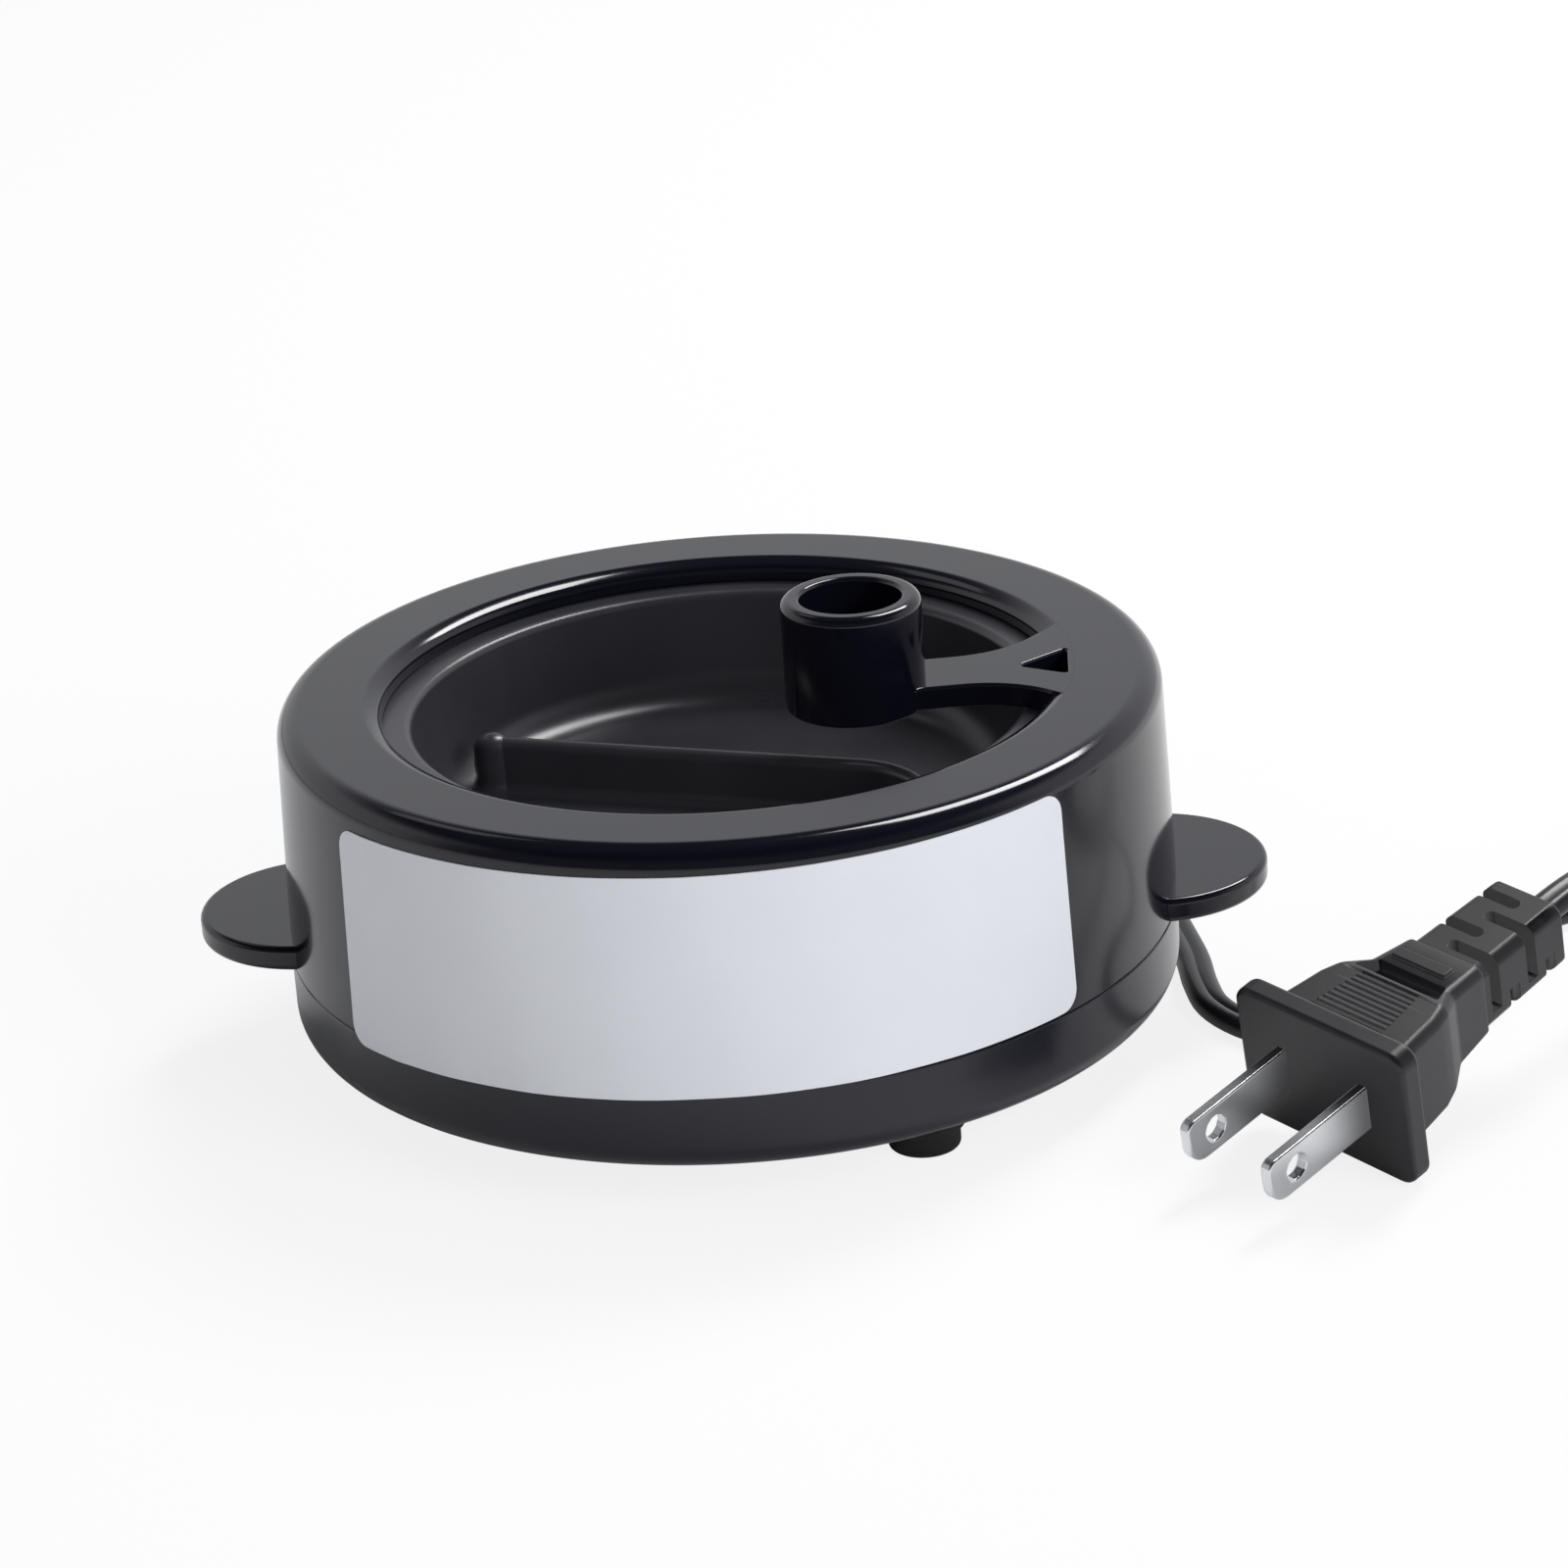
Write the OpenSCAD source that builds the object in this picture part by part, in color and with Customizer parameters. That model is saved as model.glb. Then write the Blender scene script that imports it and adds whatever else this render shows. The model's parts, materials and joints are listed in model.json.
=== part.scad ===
// Floral hot glue pot: a round glue pan in a two-part plastic housing on three feet,
// with an upright guide for a glue stick, a disc heater under the pan and a flat
// two-wire lead that ends in a two-blade plug. Millimetres, +Z up, table at z = 0,
// the pot's axis on the Z axis, the two ears along X and the lead leaving at +Y.

/* [Housing] */
// Outer diameter of the ring on top
ring_d = 112; // [104:1:124]
// Height from the underside of the base to the top of the ring
body_h = 41.5; // [40:0.5:50]
// How much wider the wall's radius is at the seam than at the ring
wall_draft = 1.1; // [0.2:0.1:2]
// Thickness of the housing wall
wall_t = 2.4; // [2:0.1:3]
// Thickness of the base plate
floor_t = 2.4; // [2:0.1:3]
// Height of the seam between the two housings above the base
seam_h = 10.3; // [9.5:0.1:12]
// Thickness of the ring on top
rim_t = 3; // [2.6:0.1:4]
// Rounding of the ring's outer edge
rim_round = 3; // [1.5:0.1:3.4]
// Rounding of the ring's inner edge
rim_in_round = 2.4; // [1:0.1:2.5]
// Width of the ring, from its outer edge to its opening
ring_w = 13.2; // [12.5:0.1:14]
// Rounding of the base's lower edge
base_round = 3.2; // [1.5:0.1:4]
// Height of the lip that lines up the two housings
lip_h = 2.7; // [2:0.1:4]

/* [Ears] */
// How far an ear stands out beyond the ring
ear_out = 12.8; // [9:0.1:16]
// Diameter of an ear
ear_d = 29.2; // [24:0.2:32]
// Thickness of an ear
ear_t = 3.2; // [2.6:0.1:4]
// Rounding of an ear's edge
ear_round = 0.8; // [0.4:0.1:1.2]

/* [Feet] */
// Height of the base above the table
foot_h = 6; // [5:0.5:9]
// Diameter of a foot where it meets the base
foot_d = 10.4; // [9:0.2:12]
// Diameter of a foot's lower step
foot_tip_d = 9; // [7.5:0.1:9]
// Height of a foot's lower step
foot_step_h = 2.8; // [2:0.1:3.5]
// Distance from the ring's outer edge in to the middle of a foot
foot_inset = 10; // [9:0.5:13]
// Diameter of the stem that plugs a foot into the base
foot_stem_d = 4; // [3:0.1:5]

/* [Pan] */
// How far the pan's lip stands inside the ring's opening
lip_inset = 3.6; // [2.8:0.1:4.8]
// How much narrower the pan's radius is at its floor than at its lip
pan_draft = 2.7; // [1.7:0.1:4.2]
// Depth of the pan from its lip to its floor
pan_depth = 14.2; // [12:0.1:15]
// Thickness of the pan's wall
pan_wall_t = 2.2; // [1.8:0.1:2.6]
// Thickness of the pan's floor
pan_floor_t = 3; // [2.5:0.1:3.5]
// Rounding between the pan's floor and wall
pan_fillet = 5; // [3:0.5:7]
// How far the pan's flange reaches under the ring
flange_lap = 2.7; // [1.7:0.1:2.9]
// Thickness of the flange
pan_flange_t = 2.2; // [1.8:0.1:2.8]
// Thickness of the rib on the pan's floor
rib_t = 2.6; // [2:0.1:3.2]
// Height of the rib
rib_h = 7; // [5:0.1:8]
// Direction of the rib across the pan, in degrees
rib_angle = -17.2; // [-25:0.1:-10]
// Distance from the middle of the rib's round end to the foot of the pan's wall
rib_end_gap = 4.9; // [4.5:0.1:8.5]
// Diameter of the rib's round end
bulb_d = 3.8; // [3:0.1:5]
// Radius on which the rib curves away at its other end
rib_bend_r = 12; // [10:0.5:14]

/* [Stick guide] */
// Bore that a glue stick slides through
stick_bore_d = 12.7; // [11.7:0.1:13.5]
// Outer diameter of the guide tube
tube_d = 17.8; // [17:0.1:19]
// Height of the tube's top above the ring
tube_rise = 11.3; // [8:0.1:14]
// Depth of the tube's lower end below the ring
tube_drop = 3.2; // [3.2:0.1:5]
// Place of the tube's axis along X
tube_x = 17.4; // [15:0.1:20]
// Place of the tube's axis along Y
tube_y = -3.85; // [-6:0.05:0]
// Width of the bracket at its waist
bracket_w = 10.4; // [8:0.1:12]
// Direction of the bracket from the tube, in degrees
bracket_angle = 5; // [2:0.5:8]
// Radius on which the bracket's sides flare into the ring
bracket_flare_r = 14; // [12:0.5:16]
// Depth of the three-cornered window, from the ring's opening in to its tip
window_depth = 4.8; // [3.9:0.1:5.4]
// Opening angle of the window at its tip
window_angle = 68; // [55:1:70]

/* [Fixings] */
// Shank diameter of the housing and pan screws
screw_d = 3; // [2.6:0.1:3.2]
// Head diameter of these screws
screw_head_d = 5.6; // [5:0.1:6]
// Head height of these screws
screw_head_h = 2; // [1.6:0.1:2.4]
// Diameter of the small screws for clamp and shield
small_screw_d = 2.5; // [2:0.1:2.6]
// Head diameter of the small screws
small_head_d = 4.6; // [4:0.1:5]
// Head height of the small screws
small_head_h = 1.6; // [1.2:0.1:1.8]
// Outer diameter of a screw boss
boss_d = 7; // [6.6:0.1:7.6]
// Gap round a shank, stem or blade in its hole
fit_gap = 0.1; // [0.05:0.01:0.15]
// Gap between housings, collars and other parts that slip into each other
slip_gap = 0.3; // [0.2:0.05:0.4]

/* [Heater] */
// Length of the ceramic heating stone
stone_l = 24; // [20:0.5:26]
// Width of the stone
stone_w = 15; // [12:0.5:16]
// Thickness of the stone
stone_t = 2.5; // [2:0.1:3]
// Thickness of an electrode plate
electrode_t = 0.6; // [0.5:0.1:0.8]
// Thickness of a mica sheet
mica_t = 0.6; // [0.4:0.1:0.8]
// Thickness of the steel clamp plate
clamp_t = 1.2; // [1:0.1:1.6]
// Diameter of the heat shield over the base
shield_d = 64; // [56:1:68]
// Thickness of the heat shield
shield_t = 0.8; // [0.6:0.1:1.2]
// Height of the heat shield above the base plate
shield_h = 4.6; // [4:0.1:5.5]
// Diameter of the thermal fuse
fuse_d = 4; // [3.4:0.1:4.4]
// Length of the thermal fuse
fuse_l = 11; // [9:0.5:13]

/* [Label] */
// Height of the blank label on the wall
label_h = 28.6; // [22:0.2:29]
// Width of the label as seen from the front
label_w = 88.6; // [70:0.2:92]
// Tilt of the label, in degrees
label_tilt = 0.9; // [0:0.1:2]
// Thickness of the label
label_t = 0.2; // [0.1:0.05:0.3]

/* [Lead and plug] */
// Width of the flat lead
cord_w = 4.6; // [3.6:0.1:4.7]
// Thickness of the flat lead
cord_t = 3; // [2.2:0.1:3.1]
// Length of the strain relief outside the housing
relief_l = 21; // [20:1:30]
// Diameter of the strain relief at the housing
relief_d = 9.6; // [8.6:0.1:10.4]
// Diameter of the strain relief at its free end
relief_tip_d = 6.4; // [6.2:0.1:7]
// Radius of the coil's outermost turn
coil_r = 30; // [28:1:34]
// Step between turns that lie side by side
coil_step = 5.1; // [5.1:0.1:5.6]
// Step between layers of the coil
coil_rise = 3.5; // [3.5:0.1:3.8]
// Thickness of the ties round the coil
tie_t = 0.6; // [0.4:0.1:0.6]
// Width of a tie
tie_w = 6; // [4:0.5:8]
// Width of the plug's flange
flange_w = 26.4; // [25:0.2:28]
// Height of the plug's flange
flange_h = 19.6; // [18:0.2:19.6]
// Thickness of the plug's flange
flange_t = 3.2; // [2.6:0.1:4]
// Length of the plug from its front to where the lead leaves
plug_l = 39; // [38.6:0.1:42]
// Distance between the two blades
blade_pitch = 12.7; // [12.5:0.1:12.9]
// Width of a blade
blade_w = 6.35; // [6:0.05:6.5]
// Thickness of a blade
blade_t = 1.5; // [1.4:0.1:1.6]
// Length of a blade outside the plug
blade_l = 17.6; // [15.9:0.1:18]
// Diameter of the hole near a blade's tip
blade_hole_d = 3.2; // [2.6:0.1:3.6]

/* [Hidden] */
$fn = 96;

// How far a cutting body runs on past the faces that it cuts
over = 1;

// Heights
base_z = foot_h;
floor_z = base_z + floor_t;
seam_z = base_z + seam_h;
top_z = base_z + body_h;
under_ring_z = top_z - rim_t;
pan_floor_z = under_ring_z - pan_depth;
pan_under_z = pan_floor_z - pan_floor_t;

// Radii of the housing
ring_r = ring_d / 2;
seam_r = ring_r + wall_draft;
mouth_r = ring_r - ring_w;
ear_x = ring_r + ear_out - ear_d / 2;
seam_break = 0.4;
lip_t = 2;
lip_out_r = seam_r - wall_t - slip_gap;

// Radii of the pan
pan_mouth_r = mouth_r - lip_inset;
pan_floor_r = pan_mouth_r - pan_draft;
pan_flange_r = mouth_r + flange_lap;
pan_lip_round = 1.2;
rib_reach = pan_floor_r - rib_end_gap;
rib_sink = 0.5;
bend_start = 18;
bend_sweep = 62;

// Screw and foot positions
flange_gap = 0.6;
house_screw_angles = [0, 120, 240];
boss_sink = 0.6;
house_boss_r = ring_r - wall_t - boss_d / 2 + boss_sink;
house_screw_l = 14;
head_seat_h = 4;
head_gap = 0.3;
pan_screw_angles = [30, 150, 270];
pan_boss_r = pan_flange_r + boss_d / 2 + flange_gap;
pan_boss_l = 8.5;
lug_t = 2.5;
lug_z = under_ring_z - pan_boss_l - lug_t;
pan_screw_l = 8;
foot_angles = [-60, 60, 180];
foot_r = ring_r - foot_inset;
stem_head_h = 1.8;
stem_head_lap = 0.9;

// Label
label_gap = 0.02;
label_corner = 2.5;
label_turn = -3;
label_z = (top_z + seam_z) / 2 - 2;

// Stick guide
tube_foot_z = top_z - tube_drop;
tube_top_z = top_z + tube_rise;
tube_lip = 1.2;
bracket_lap = rim_in_round;
window_lap = 1.6;
bracket_reach = mouth_r + bracket_lap;
window_start = mouth_r - window_depth - tube_x;
flare_start = window_start - 7.6;
flare_end_angle = 48;
window_round = 0.9;

// Heater stack, from the pan downwards, and what holds it
stack = [mica_t, electrode_t, stone_t, electrode_t, mica_t];
function stack_top(i) = i == 0 ? pan_under_z : stack_top(i - 1) - stack[i - 1];
stack_end_z = stack_top(4) - stack[4];
plate_margin = 1;
boss_root = 1;
tip_gap = 0.4;
clamp_boss_d = boss_d - 0.6;
clip_boss_d = boss_d - 1.4;
clamp_w = 13;
clamp_screw_y = stone_w / 2 + plate_margin + boss_d / 2 + 1.2;
clamp_l = 2 * clamp_screw_y + boss_d;
clamp_screw_l = 6;
tab_w = 5;
tab_l = 6;
barrel_d = 3;
barrel_l = 5;
wire_d = 1.8;
barrel_x = stone_l / 2 + tab_l + barrel_l / 2;
barrel_z = stack_end_z - barrel_d / 2 - 2.5;
fuse_lead_d = 1;
fuse_x = pan_floor_r - 9.5;
fuse_z = pan_under_z - fuse_d / 2 - 0.8;
sleeve_l = 20;
sleeve_wall = 0.6;
sleeve_r = fuse_d / 2 + fit_gap + sleeve_wall;
clip_t = 0.7;
clip_w = 7;
clip_screw_l = 4.8;
clip_screw_x = fuse_x + sleeve_r + clip_t + 3.4;
clip_foot_z = fuse_z - sleeve_r - clip_t;
crimp_d = 3;
crimp_l = 6;
crimp_y = sleeve_l / 2 + crimp_l / 2 + 0.4;
shield_z = floor_z + shield_h;
shield_post_r = shield_d / 2 - 5;
shield_post_angles = [90, 210, 330];
shield_screw_l = 5;

// Entry of the lead, on the seam at the back
relief_z = seam_z;
relief_neck_d = 7;
relief_collar_d = 10.4;
relief_collar_t = 2;
notch_first = 5;
notch_pitch = 3.4;
notch_w = 1.4;
notch_wall = 0.6;
notch_depth_x = 3.6;
relief_start = seam_r;
relief_end = relief_start + relief_l;
relief_neck_start = sqrt(pow(lip_out_r - lip_t, 2) - pow(relief_collar_d / 2, 2)) - fit_gap;
relief_collar_start = relief_neck_start - relief_collar_t;
saddle_y = relief_collar_start - 8;
saddle_w = 7;
saddle_l = 24;
saddle_screw_x = 8.5;
saddle_screw_l = 8;
clamp_bar_t = 2.6;
inner_end_y = saddle_y - 6;

// Plug, turned as it lies beside the pot
plug_front = [70.9, -51.6, 10.47];
plug_heading = 42.4;
plug_pitch = 12.9;
plug_roll = 5.1;
plug_axis = [
  cos(plug_heading) * cos(plug_pitch), sin(plug_heading) * cos(plug_pitch), sin(plug_pitch)
];
body_start_w = 20.6;
body_start_h = 14.4;
body_taper = 0.8;
slice_t = 0.02;
taper_x = 12;
neck_x = 17;
neck_w = 13;
neck_h = 11.2;
relief_x = 23;
plug_relief_w = 11.6;
plug_relief_h = 10;
slot_w = 1.8;
slot_first_x = 24.6;
slot_pitch = 3.5;
slot_count = 4;
core_w = 5.6;
core_h = 4;
groove_count = 10;
groove_first_x = 4.8;
groove_pitch = 0.9;
groove_w = 0.5;
groove_l = 11.2;
groove_taper = 0.25;
groove_depth = 0.4;
groove_floor_z = body_start_h / 2 - body_taper / 2 - groove_depth;
hole_to_tip = 4.6;
blade_root = 4;

// Coil of the spare lead, four layers of two turns each
tie_gap = 0.3;
coil_centre = [165.2, 5.2];
coil_base_z = tie_t + tie_gap + cord_t / 2;
coil_entry_angle = 193.5;
coil_exit_angle = 136.2;
coil_turns = 8 + (coil_exit_angle - coil_entry_angle) / 360;
loop_rings = 24;
coil_run = cord_w;
tie_angles = [20, 270];

// Route of the lead from the strain relief to the coil, chosen by hand
pot_route = [
  [0, relief_end + 0.1, relief_z], [0, relief_end + 5.9, relief_z], [1.6, 91.5, 15.4], [6.4, 98.5, 13.2],
  [13.6, 103.3, 10.2],
  [22, 105, 7], [30.5, 103.6, 4.4], [38.4, 99.2, 2.6], [44.8, 92.5, 1.8], [49, 84, 1.6],
  [51, 75, 1.6], [51.4, 66.5, 1.6], [51.9, 58.5, 1.6], [52.8, 50.5, 1.6], [54, 42, 1.6],
  [55.2, 33, 1.6], [56.6, 24, 1.6], [58, 15, 1.6], [59.2, 6.5, 1.6], [59.7, -1.7, 1.6],
  [60.8, -8.2, 1.6], [64.1, -14, 1.6], [69.2, -18.2, 1.6], [75.4, -20.5, 1.6], [82, -20.5, 1.6],
  [88.2, -18.2, 1.6], [93.3, -14, 1.6], [96.6, -8.2, 1.6], [97.7, -1.7, 1.6], [98.8, 4.7, 1.6],
  [102.1, 10.4, 1.6], [107.2, 14.6, 1.6], [113.3, 16.9, 1.6], [119.9, 16.9, 1.6],
  [126.1, 14.6, 1.8], [131.1, 10.4, 2.1], [133.4, 6.9, 2.3], [134.9, 2.7, 2.4]
];

// Route of the lead from the coil to the plug, chosen by hand
plug_route = [
  [140.8, 22, 12.9], [137.5, 18.4, 12.8], [134.3, 14.9, 12.9], [130.4, 10.6, 13.4], [126.5, 6, 14.5],
  [122.8, 1.3, 16], [119.1, -3.5, 17.7], [115.4, -8.3, 19.3], [111.7, -13, 20.5], [107.7, -17.5, 20.9],
  [103.5, -21.7, 20.4], plug_front + plug_axis * (plug_l + 0.3)
];

// Small helpers
function unit(v) = v / norm(v);
function polar(r, a) = [r * cos(a), r * sin(a)];

// Outline with each corner i rounded by radii[i]
function rounded(pts, radii, steps = 6) = [
  for (i = [0:len(pts) - 1])
    let (
      count = len(pts),
      p = pts[i],
      u = unit(pts[(i + count - 1) % count] - p),
      v = unit(pts[(i + 1) % count] - p),
      half = acos(u * v) / 2,
      r = radii[i],
      centre = p + unit(u + v) * r / sin(half),
      a = p + u * r / tan(half) - centre,
      b = p + v * r / tan(half) - centre,
      sweep = 180 - 2 * half
    )
    for (k = r > 0 ? [0:steps] : [0:0])
      r > 0 ? centre + (a * sin(sweep * (1 - k / steps)) + b * sin(sweep * k / steps)) / sin(sweep) : p
];

// Rectangle about the origin with round corners
function rounded_rect(w, h, r) =
  rounded([[-w / 2, -h / 2], [w / 2, -h / 2], [w / 2, h / 2], [-w / 2, h / 2]], [r, r, r, r]);

module at_angles(angles, r) {
  for (a = angles) rotate([0, 0, a]) translate([r, 0, 0]) children();
}

// Flat counterpart of at_angles, for outlines
module at_angles_2d(angles, r) {
  for (a = angles) rotate(a) translate([r, 0]) children();
}

// Tube swept along points: a flat closed section with sides corners, wide across the
// route and level, thick upwards
function ring_dir(pts, i) =
  let (last = len(pts) - 1)
  unit(i == 0 ? pts[1] - pts[0] : i == last ? pts[last] - pts[last - 1] : pts[i + 1] - pts[i - 1]);
function sweep_ring(p, dir, w, t, sides) =
  let (across = unit(cross(dir, [0, 0, 1])), up = cross(across, dir))
  [for (k = [0:sides - 1]) let (a = 360 * (k + 0.5 * (sides == 8 ? 1 : 0)) / sides)
    p + across * w / 2 * cos(a) / (sides == 8 ? cos(22.5) : 1)
      + up * t / 2 * sin(a) / (sides == 8 ? cos(22.5) : sin(60))];
function sweep_faces(rings, sides) = concat(
  [[for (k = [0:sides - 1]) sides - 1 - k]],
  [[for (k = [0:sides - 1]) (rings - 1) * sides + k]],
  [for (i = [0:rings - 2], k = [0:sides - 1])
    let (a = i * sides + k, b = i * sides + (k + 1) % sides) [a, b, b + sides]],
  [for (i = [0:rings - 2], k = [0:sides - 1])
    let (a = i * sides + k, b = i * sides + (k + 1) % sides) [a, b + sides, a + sides]]
);
module flat_tube(pts, w, t, sides = 8) {
  points = [for (i = [0:len(pts) - 1]) each sweep_ring(pts[i], ring_dir(pts, i), w, t, sides)];
  polyhedron(points = points, faces = sweep_faces(len(pts), sides), convexity = 10);
}

// Screw with a low round head, pointing up from the underside of its head
module screw(d, length, head_d, head_h) {
  translate([0, 0, -head_h])
    rotate_extrude()
      polygon(rounded(
        [[0, 0], [head_d / 2, 0], [head_d / 2, head_h], [d / 2, head_h],
         [d / 2, head_h + length - d / 3], [d / 6, head_h + length], [0, head_h + length]],
        [0, head_h / 2, 0, 0, 0, 0, 0]
      ));
}

// Housing -------------------------------------------------------------------------

module ear() {
  translate([ear_x, 0, seam_z])
    rotate_extrude()
      polygon(rounded(
        [[0, 0], [ear_d / 2, 0], [ear_d / 2, ear_t], [0, ear_t]],
        [0, ear_round / 2, ear_round, 0]
      ));
}

module upper_shell() {
  rotate_extrude($fn = 180)
    polygon(rounded(
      [[seam_r, seam_z], [ring_r, top_z], [mouth_r, top_z], [mouth_r, under_ring_z],
       [ring_r - wall_t, under_ring_z], [seam_r - wall_t, seam_z]],
      [seam_break / 2, rim_round, rim_in_round, 0, 0, 0]
    ));
}

// Outline of the bracket in its own frame: the tube's axis at the origin, +X outwards
module bracket_outline() {
  flare = [for (k = [0:8])
    [flare_start, bracket_w / 2 + bracket_flare_r]
      + polar(bracket_flare_r, -90 + flare_end_angle * k / 8)];
  flare_tip = flare[len(flare) - 1];
  end_x = bracket_reach + flare_start / 2;
  far = [end_x, flare_tip[1] + (end_x - flare_tip[0]) * tan(flare_end_angle)];
  upper = concat([[0, bracket_w / 2]], flare, [far]);
  lower = [for (i = [len(upper) - 1:-1:0]) [upper[i][0], -upper[i][1]]];
  polygon(concat(upper, lower));
}

module window_outline() {
  reach = bracket_reach - window_start + tube_x;
  half = reach * tan(window_angle / 2);
  translate([window_start, 0])
    polygon(rounded([[0, 0], [reach, half], [reach, -half]], [window_round, 0, 0]));
}

module bracket() {
  translate([0, 0, top_z - rim_t])
    linear_extrude(height = rim_t)
      difference() {
        intersection() {
          translate([tube_x, tube_y]) rotate(bracket_angle) bracket_outline();
          circle(r = bracket_reach, $fn = 180);
        }
        translate([tube_x, tube_y]) circle(d = (stick_bore_d + tube_d) / 2);
      }
}

// Window through the bracket and the inner edge of the ring
module window_cut() {
  translate([0, 0, under_ring_z - over])
    linear_extrude(height = rim_t + 2 * over)
      intersection() {
        translate([tube_x, tube_y]) rotate(bracket_angle) window_outline();
        circle(r = mouth_r + window_lap, $fn = 180);
      }
}

module guide_tube() {
  translate([tube_x, tube_y, 0])
    rotate_extrude()
      polygon(rounded(
        [[stick_bore_d / 2, tube_foot_z], [tube_d / 2, tube_foot_z], [tube_d / 2, tube_top_z],
         [stick_bore_d / 2, tube_top_z]],
        [0, tube_lip / 2, tube_lip, tube_lip / 2]
      ));
}

// Half of the round gap that holds the neck of the strain relief, cut from a wall
module relief_gap(d) {
  start = relief_collar_start - relief_collar_t;
  translate([0, start, relief_z]) rotate([-90, 0, 0]) cylinder(d = d, h = relief_end - start);
}

module upper_housing() {
  color("#17171b")
    difference() {
      union() {
        upper_shell();
        bracket();
        guide_tube();
        difference() {
          for (side = [0, 180]) rotate([0, 0, side]) ear();
          translate([0, 0, seam_z - over])
            cylinder(r = seam_r - wall_t / 2, h = ear_t + 2 * over, $fn = 180);
        }
        at_angles(house_screw_angles, house_boss_r)
          translate([0, 0, seam_z]) cylinder(d = boss_d, h = under_ring_z - seam_z + rim_t / 2);
        at_angles(pan_screw_angles, pan_boss_r)
          translate([0, 0, under_ring_z - pan_boss_l])
            cylinder(d = boss_d, h = pan_boss_l + rim_t / 2);
      }
      at_angles(house_screw_angles, house_boss_r)
        translate([0, 0, seam_z - over])
          cylinder(d = screw_d + 2 * fit_gap, h = house_screw_l + head_seat_h - seam_h + 2 * over);
      at_angles(pan_screw_angles, pan_boss_r)
        translate([0, 0, under_ring_z - pan_boss_l - over])
          cylinder(d = screw_d + 2 * fit_gap, h = pan_screw_l - lug_t + 1.5 * over);
      window_cut();
      relief_gap(relief_neck_d + 2 * fit_gap);
    }
}

module lower_shell() {
  rotate_extrude($fn = 180)
    polygon(rounded(
      [[0, base_z], [seam_r, base_z], [seam_r, seam_z], [lip_out_r, seam_z],
       [lip_out_r, seam_z + lip_h], [lip_out_r - lip_t, seam_z + lip_h],
       [lip_out_r - lip_t, seam_z - lip_h], [lip_out_r, seam_z - lip_h - lip_t],
       [lip_out_r, floor_z], [0, floor_z]],
      [0, base_round, seam_break, 0, 0, 0.4, 0, 0, base_round / 2, 0]
    ));
}

module saddle() {
  translate([-saddle_l / 2, saddle_y - saddle_w / 2, base_z + floor_t / 2])
    cube([saddle_l, saddle_w, relief_z + cord_t / 2 - base_z - floor_t / 2]);
}

module lower_housing() {
  color("#1c1c20")
    difference() {
      union() {
        difference() {
          lower_shell();
          at_angles(house_screw_angles, house_boss_r)
            translate([0, 0, seam_z]) cylinder(d = boss_d + 3 * slip_gap, h = lip_h + over);
          relief_gap(relief_neck_d + 2 * fit_gap);
        }
        at_angles(house_screw_angles, house_boss_r)
          translate([0, 0, base_z + floor_t / 2]) cylinder(d = boss_d, h = seam_h - floor_t / 2);
        at_angles(house_screw_angles, house_boss_r)
          translate([0, 0, base_z + floor_t / 2])
            cylinder(d = screw_head_d + 2 * head_gap + 2 * floor_t, h = head_seat_h);
        at_angles(shield_post_angles, shield_post_r)
          translate([0, 0, base_z + floor_t / 2])
            cylinder(d = boss_d - 1, h = shield_z - base_z - floor_t / 2);
        saddle();
      }
      at_angles(house_screw_angles, house_boss_r) {
        translate([0, 0, base_z - over])
          cylinder(d = screw_d + 2 * fit_gap, h = seam_h + 2 * over);
        translate([0, 0, base_z - over])
          cylinder(d = screw_head_d + 2 * head_gap, h = head_seat_h + over);
      }
      at_angles(foot_angles, foot_r)
        translate([0, 0, base_z - over])
          cylinder(d = foot_stem_d + 2 * fit_gap, h = floor_t + 2 * over);
      at_angles(shield_post_angles, shield_post_r)
        translate([0, 0, shield_z - shield_screw_l])
          cylinder(d = small_screw_d + 2 * fit_gap, h = shield_screw_l + over);
      translate([-cord_w / 2 - slip_gap, saddle_y - saddle_w, relief_z - cord_t / 2 - fit_gap])
        cube([cord_w + 2 * slip_gap, 2 * saddle_w, cord_t + over]);
      for (side = [-1, 1])
        translate([side * saddle_screw_x, saddle_y, relief_z + cord_t / 2 + clamp_bar_t - saddle_screw_l])
          cylinder(d = small_screw_d + 2 * fit_gap, h = saddle_screw_l);
    }
}

module side_label() {
  in_low = seam_r + label_gap;
  in_top = ring_r + label_gap;
  color("#f2f3f6")
    intersection() {
      rotate_extrude($fn = 180)
        polygon([
          [in_low, base_z + base_round], [in_low + label_t, base_z + base_round],
          [in_low + label_t, seam_z], [in_top + label_t, top_z], [in_top, top_z], [in_low, seam_z]
        ]);
      rotate([0, 0, label_turn]) translate([0, 0, label_z]) rotate([90, -label_tilt, 0])
        linear_extrude(height = ring_d)
          polygon(rounded_rect(label_w, label_h, label_corner));
    }
}

// Foot with its lower step, and a stem with a head that snaps in above the base plate
module foot() {
  head_r = foot_stem_d / 2 + stem_head_lap;
  head_z = floor_z + fit_gap;
  color("#141416")
    rotate_extrude()
      polygon(rounded(
        [[0, 0], [foot_tip_d / 2, 0], [foot_tip_d / 2, foot_step_h], [foot_d / 2, foot_step_h],
         [foot_d / 2, base_z], [foot_stem_d / 2, base_z], [foot_stem_d / 2, head_z],
         [head_r, head_z], [foot_stem_d / 2, head_z + stem_head_h], [0, head_z + stem_head_h]],
        [0, 0.5, 0, 0.6, 0, 0, 0, 0.2, 0.3, 0]
      ));
}
module foot_front_right() at_angles([foot_angles[0]], foot_r) foot();
module foot_rear_right() at_angles([foot_angles[1]], foot_r) foot();
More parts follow.
